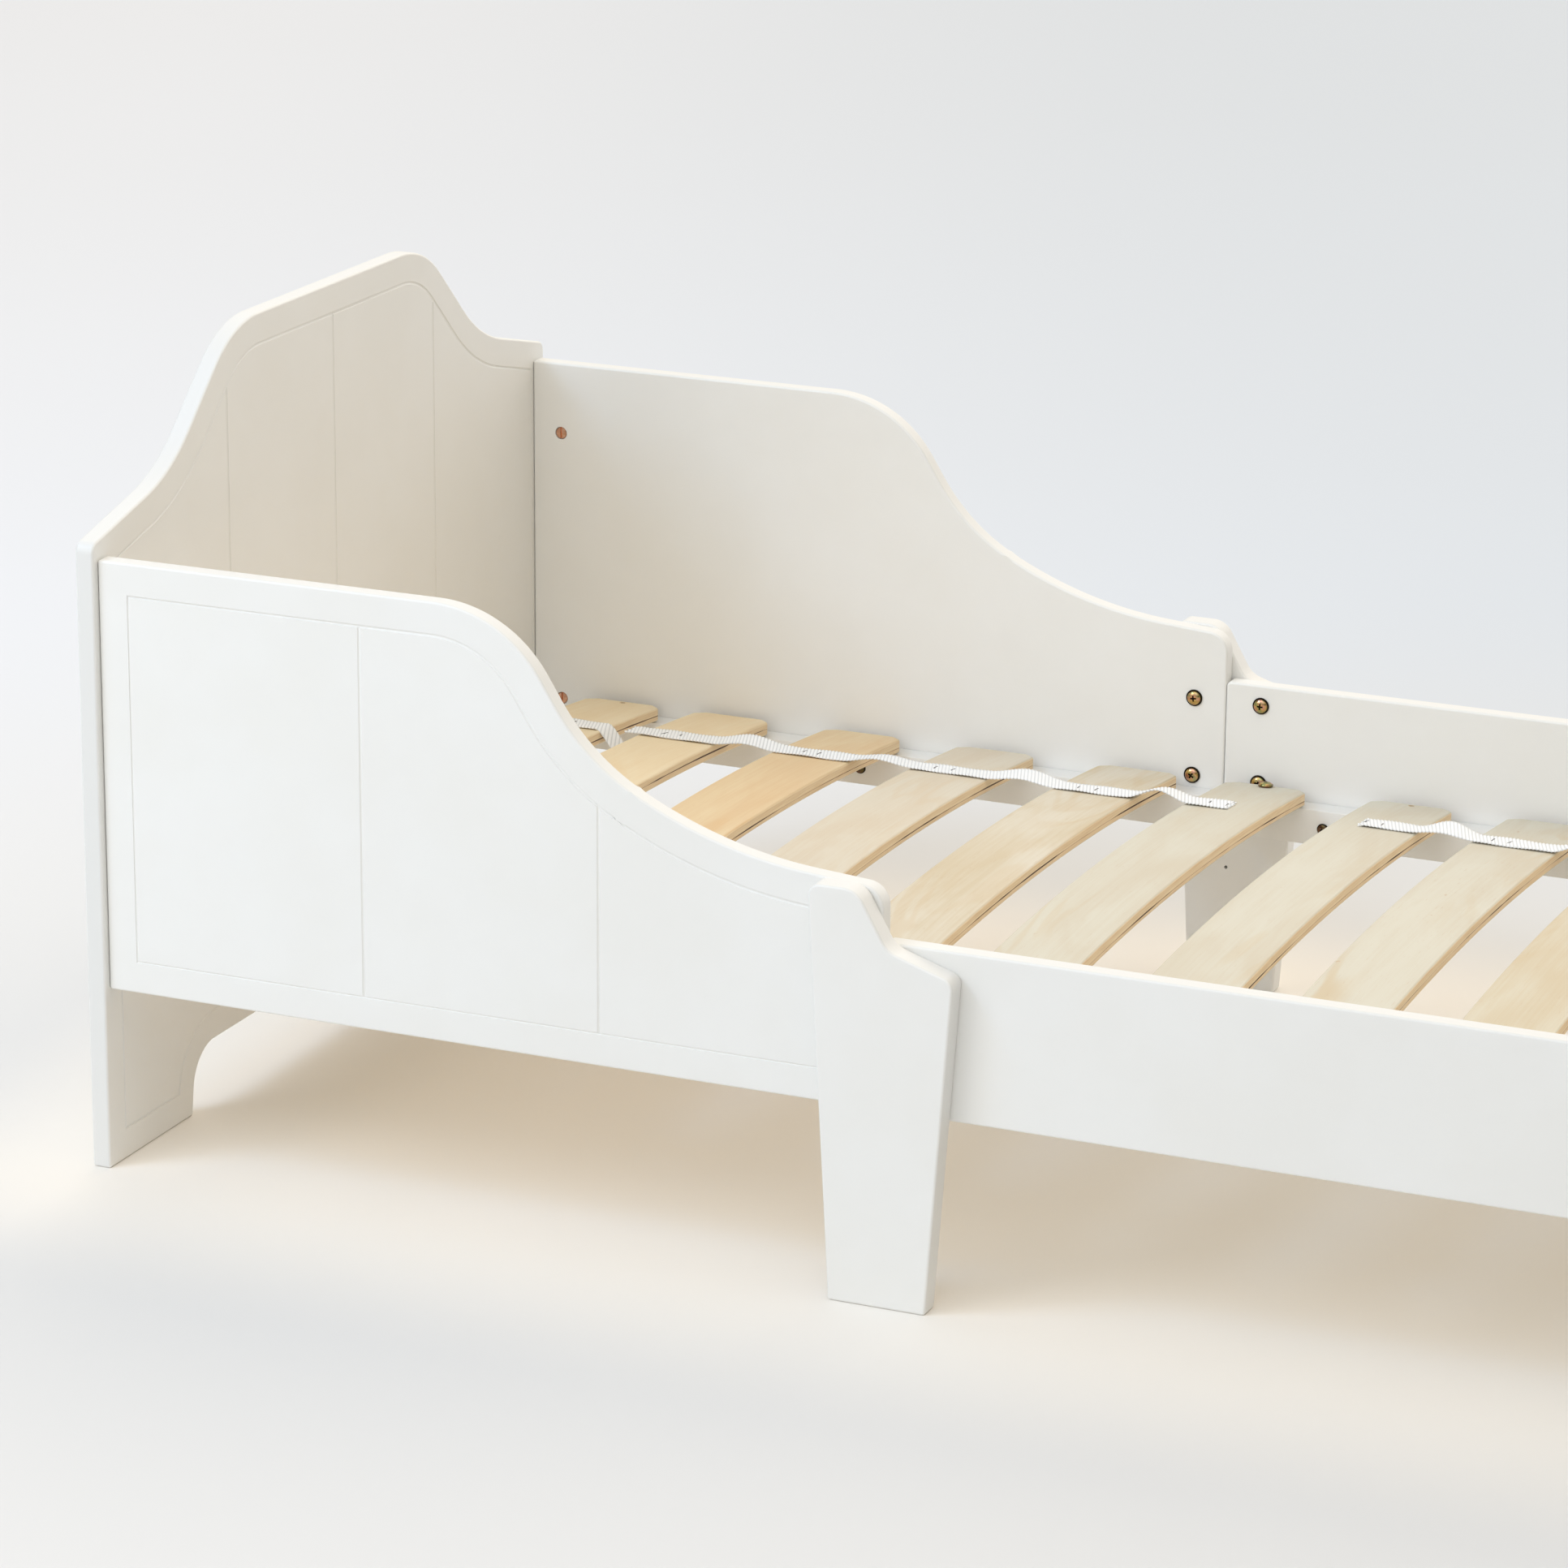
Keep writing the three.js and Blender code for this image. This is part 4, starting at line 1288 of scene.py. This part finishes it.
def makeStaples(end, sideName, sign, ways, middleY, master):
    dice = random.Random(f"{end}{sideName}")
    copies = []
    spots = [(way, middle) for way in ways for middle in way["middles"]]
    for (way, middle), shift in zip(spots, staple["middle"][end]):
        for offset in (-0.5, 0.5):
            x = middle + shift * mm + offset * staple["spread"] + dice.uniform(-1, 1) * mm
            y = middleY + sign * blendAlong(way["drift"], x) + dice.uniform(-2, 2) * mm
            z = slat["base"] + slat["thickness"] + slatLift(y) + tape["thickness"] + staple["stand"]
            slope = math.atan(-2 * slat["rise"] * y / slat["halfLength"] ** 2)
            turn = math.radians(staple["tilt"] + dice.uniform(-14, 14))
            place = Matrix.Translation((x, y, z)) @ Matrix.Rotation(slope, 4, "X")
            place = place @ Matrix.Rotation(turn, 4, "Z")
            copies.append(copyTo(master, f"staple{len(copies)}", place))
    activate(copies[0])
    for copy in copies[1:]:
        copy.select_set(True)
    bpy.ops.object.join()
    piece = bpy.context.object
    piece.name = f"staples{end.title()}{sideName.title()}"
    finishPiece(piece, stapleWire, "yellow_zinc")


stapleMaster = makeStapleMaster()
for side, sign in sides.items():
    for end in ("head", "foot"):
        ways, middleY = makeTape(end, side, sign)
        makeStaples(end, side, sign, ways, middleY, stapleMaster)
remove(stapleMaster)
print("tapes and staples ready")


# fasteners
# the last two values of each screw set how dark its head is painted: the rim as painted reflection, the
# whole head as painted shade
screws = {
    "leg": {"diameter": 6 * mm, "length": 29 * mm, "head": 14 * mm, "height": 3.4 * mm,
            "flange": 0.7 * mm, "recess": 7.4 * mm, "slot": 1.6 * mm, "soot": 1.0, "tarnish": 0.0},
    "slat": {"diameter": 4 * mm, "length": 26 * mm, "head": 12.5 * mm, "height": 3.2 * mm,
             "flange": 1.0 * mm, "recess": 4.8 * mm, "slot": 1.2 * mm, "soot": 0.25, "tarnish": 0.0},
    "ledge": {"diameter": 3.5 * mm, "length": 22 * mm, "head": 9.8 * mm, "height": 2.8 * mm,
              "flange": 0.3 * mm, "recess": 4.6 * mm, "slot": 1.1 * mm, "soot": 1.0, "tarnish": 0.8},
}


def lathe(name, profile, steps=40):
    # profile is (radius, height) up the Z axis, turned once round
    pen = Vector((profile[0][0], 0, profile[0][1]))
    piece = startPen(name, pen)
    for radius, height in profile[1:]:
        there = Vector((radius, 0, height))
        penTo(pen, there)
        pen = there
    bpy.ops.mesh.select_all(action="SELECT")
    bpy.ops.mesh.spin(steps=steps, angle=math.tau, center=(0, 0, 0), axis=(0, 0, 1))
    closeUp(piece)
    return piece


def makeScrewMaster(name, size):
    half = size["head"] / 2
    flange = size["flange"]
    dome = []
    inner = half * 0.84 if flange > 0.5 * mm else half
    for k in range(9):
        angle = math.pi / 2 * k / 8
        rise = (size["height"] - flange) * math.sin(angle) ** 0.85
        dome.append((inner * math.cos(angle), flange + rise))
    profile = [(0, -size["length"]), (size["diameter"] * 0.3, -size["length"]),
               (size["diameter"] / 2, -size["length"] + 2 * mm), (size["diameter"] / 2, 0),
               (half - 0.15 * mm, 0), (half, 0.15 * mm), (half, flange * 0.8),
               (half - 0.2 * mm, flange)] + dome
    piece = lathe(name, profile)
    for turn in (0, math.pi / 2):
        deselectAll()
        bpy.ops.mesh.primitive_cube_add(size=1)
        tool = bpy.context.object
        bpy.ops.object.mode_set(mode="EDIT")
        bpy.ops.mesh.select_all(action="SELECT")
        bpy.ops.transform.resize(value=(size["recess"], size["slot"], 2 * size["height"]))
        pick("FACE", lambda f: f.normal.z < -0.9)
        bpy.ops.transform.resize(value=(0.55, 0.8, 1))
        bpy.ops.object.mode_set(mode="OBJECT")
        lifted = Matrix.Translation((0, 0, 1.3 * size["height"]))
        tool.data.transform(lifted @ Matrix.Rotation(turn, 4, "Z"))
        subtract(piece, tool)

    # dark rim: painted reflection; dark cross recess: painted shade
    def amount(radius, height):
        rim = size["soot"] * (radius / half - 0.76) / 0.08
        if height > -0.5 * mm and radius < size["recess"] / 2:
            skin = flange + (size["height"] - flange) * (1 - (radius / inner) ** 2) ** 0.425
            rim = max(rim, (skin - height - 0.15 * mm) / (0.1 * mm))
        # the last value darkens the whole head as painted shade
        return max(rim, size["tarnish"])

    addPaintedShadeAndReflection(piece, amount)
    return piece


def addPaintedShadeAndReflection(piece, amount):
    # amount(radius, height) is stored on every face of a turned piece: the mask of its painted
    # reflection and painted shade
    layer = piece.data.attributes.new("soot", "FLOAT", "FACE")
    for face, item in zip(piece.data.polygons, layer.data):
        middle = face.center
        item.value = min(max(amount(math.hypot(middle.x, middle.y), middle.z), 0), 1)


bolt = {"length": 50 * mm, "radius": 3 * mm, "headRadius": 8 * mm, "height": 2.5 * mm,
        "socket": 4.6 * mm, "socketDepth": 3 * mm}


def makeBoltMaster():
    length, radius, head, height = (bolt[part] for part in ("length", "radius", "headRadius", "height"))
    profile = [(0, -length), (radius - 1.1 * mm, -length), (radius, -length + 1.5 * mm), (radius, 0),
               (head - 0.1 * mm, 0), (head, 0.1 * mm), (head, height - 1.4 * mm),
               (head - 0.2 * mm, height - 1.0 * mm), (head - 1.4 * mm, height - 0.15 * mm),
               (head - 1.8 * mm, height), (0, height)]
    piece = lathe("boltMaster", profile, 48)
    drill(piece, Vector((0, 0, height)), (0, 0, 1), bolt["socket"], 2 * bolt["socketDepth"], 6)
    return piece


nut = {"length": 13 * mm, "radius": 5 * mm, "bore": 6.4 * mm, "boreDrop": 7.2 * mm,
       "slotWidth": 1.5 * mm, "slotDepth": 2 * mm}


def makeNutMaster():
    length, radius = nut["length"], nut["radius"]
    profile = [(0, -length), (radius - 0.4 * mm, -length), (radius, -length + 0.4 * mm),
               (radius, -0.5 * mm), (radius - 0.5 * mm, 0), (0, 0)]
    piece = lathe("nutMaster", profile, 40)
    drill(piece, Vector((0, 0, -nut["boreDrop"])), (1, 0, 0), nut["bore"], 14 * mm, 28)
    deselectAll()
    bpy.ops.mesh.primitive_cube_add(size=1)
    tool = bpy.context.object
    tool.data.transform(Matrix.Diagonal((12 * mm, nut["slotWidth"], 2 * nut["slotDepth"], 1)))
    subtract(piece, tool)
    return piece


def setFastener(master, name, place, direction, spin, finish, slotName, *nodes):
    piece = copyTo(master, name, standing(place, direction, spin))
    finishPiece(piece, finish, slotName, *nodes, shade=0)


def makeFasteners():
    dice = random.Random(11)
    masters = {kind: makeScrewMaster(kind + "ScrewMaster", screws[kind]) for kind in screws}
    masters["bolt"] = makeBoltMaster()
    masters["nut"] = makeNutMaster()
    for master in masters.values():
        smooth(master, 38)
    yellow = (yellowZinc, "yellow_zinc")
    for node in sorted(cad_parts):
        low, high, middle = nodeMiddle(node)
        spin = dice.uniform(0, math.tau)
        inward = -1 if middle.y > 0 else 1
        outward = -1 if middle.x < 0 else 1
        inner = low.y if inward < 0 else high.y
        label = "".join(word.title() for word in node.split("_"))
        label = label[0].lower() + label[1:]
        if node.startswith("leg_screw"):
            place = (middle.x, inner - inward * screws["leg"]["height"], middle.z)
            setFastener(masters["leg"], label + "Head", place, (0, inward, 0), spin, *yellow, node)
        elif node.startswith("slat_screw"):
            place = (middle.x, middle.y, high.z - screws["slat"]["height"])
            setFastener(masters["slat"], label + "Head", place, (0, 0, 1), spin, *yellow, node)
        elif node.startswith("connector_bolt"):
            face = low.x if outward < 0 else high.x
            place = (face - outward * bolt["height"], middle.y, middle.z)
            setFastener(masters["bolt"], label + "Fine", place, (outward, 0, 0), spin, *yellow, node)
        elif node.startswith("barrel_nut"):
            setFastener(masters["nut"], label + "Fine", (middle.x, inner, middle.z),
                        (0, inward, 0), math.pi / 2, copperZinc, "copper_zinc", node)
        elif node.startswith("slat_ledge"):
            for k, along in enumerate(ledge["screwSpots"]["head" if middle.x < 0 else "foot"]):
                place = (low.x + along, inner, high.z - ledge["screwDrop"])
                setFastener(masters["ledge"], f"{label}Screw{k + 1}", place, (0, inward, 0),
                            spin + k, *yellow)
    for master in masters.values():
        remove(master)


makeFasteners()
print("fasteners ready")


# studio
# the floor's colour carries painted light: lighter under and close round the bed, and a painted falloff
# of light across the view and into the distance
studioFloor = {
    "size": 60.0,
    "under": (0.92, 0.88, 0.82),          # painted light: lightest under and close round the bed
    "round": (0.72, 0.72, 0.72),
    "farLeft": (0.77, 0.80, 0.86),
    "farRight": (0.66, 0.71, 0.78),
    "underReach": 0.22,                   # metres past the sides of the bed
    "behind": (0.3, 1.7),                 # metres along the view, where near turns to far
    "sideways": (-1.4, 0.7),              # metres across the view, from left to right
}


def addFloor():
    look = studioFloor
    deselectAll()
    bpy.ops.mesh.primitive_plane_add(size=look["size"])
    floor = bpy.context.object
    floor.name = "studioFloor"
    material, tree, shader = newMaterial("paleFloor", look["round"], Roughness=0.75)
    place = tree.objectPlace()
    x, y, _ = tree.parts(place)
    away = []
    for part, edge in ((x, cadBox[1][0]), (y, cadBox[1][1])):
        past = tree.math("MAXIMUM", tree.minus(tree.math("ABSOLUTE", part), edge), 0.0)
        away.append(tree.times(past, past))
    away = tree.math("SQRT", tree.plus(*away))
    # painted light under and close round the bed
    under = tree.ramp(away, 0.0, look["underReach"])
    near = tree.mix(under, (*look["under"], 1), (*look["round"], 1))
    # painted falloff of light across the view and into the distance
    turn = math.radians(view["azimuth"])
    back = tree.plus(tree.times(x, -math.sin(turn)), tree.times(y, math.cos(turn)))
    across = tree.plus(tree.times(x, math.cos(turn)), tree.times(y, math.sin(turn)))
    far = tree.mix(tree.ramp(across, *look["sideways"]), (*look["farLeft"], 1),
                   (*look["farRight"], 1))
    paint = tree.mix(tree.ramp(back, *look["behind"]), near, far)
    mottle = tree.ramp(tree.noise(place, 0.6, 2.0, 0.5), 0.3, 0.7, 0.0, 0.04)
    tree.plug(shader["Base Color"], tree.mix(mottle, paint, (0.6, 0.6, 0.6, 1)))
    floor.data.materials.append(material)


addCamera()
addLights()
addFloor()
print("studio ready")
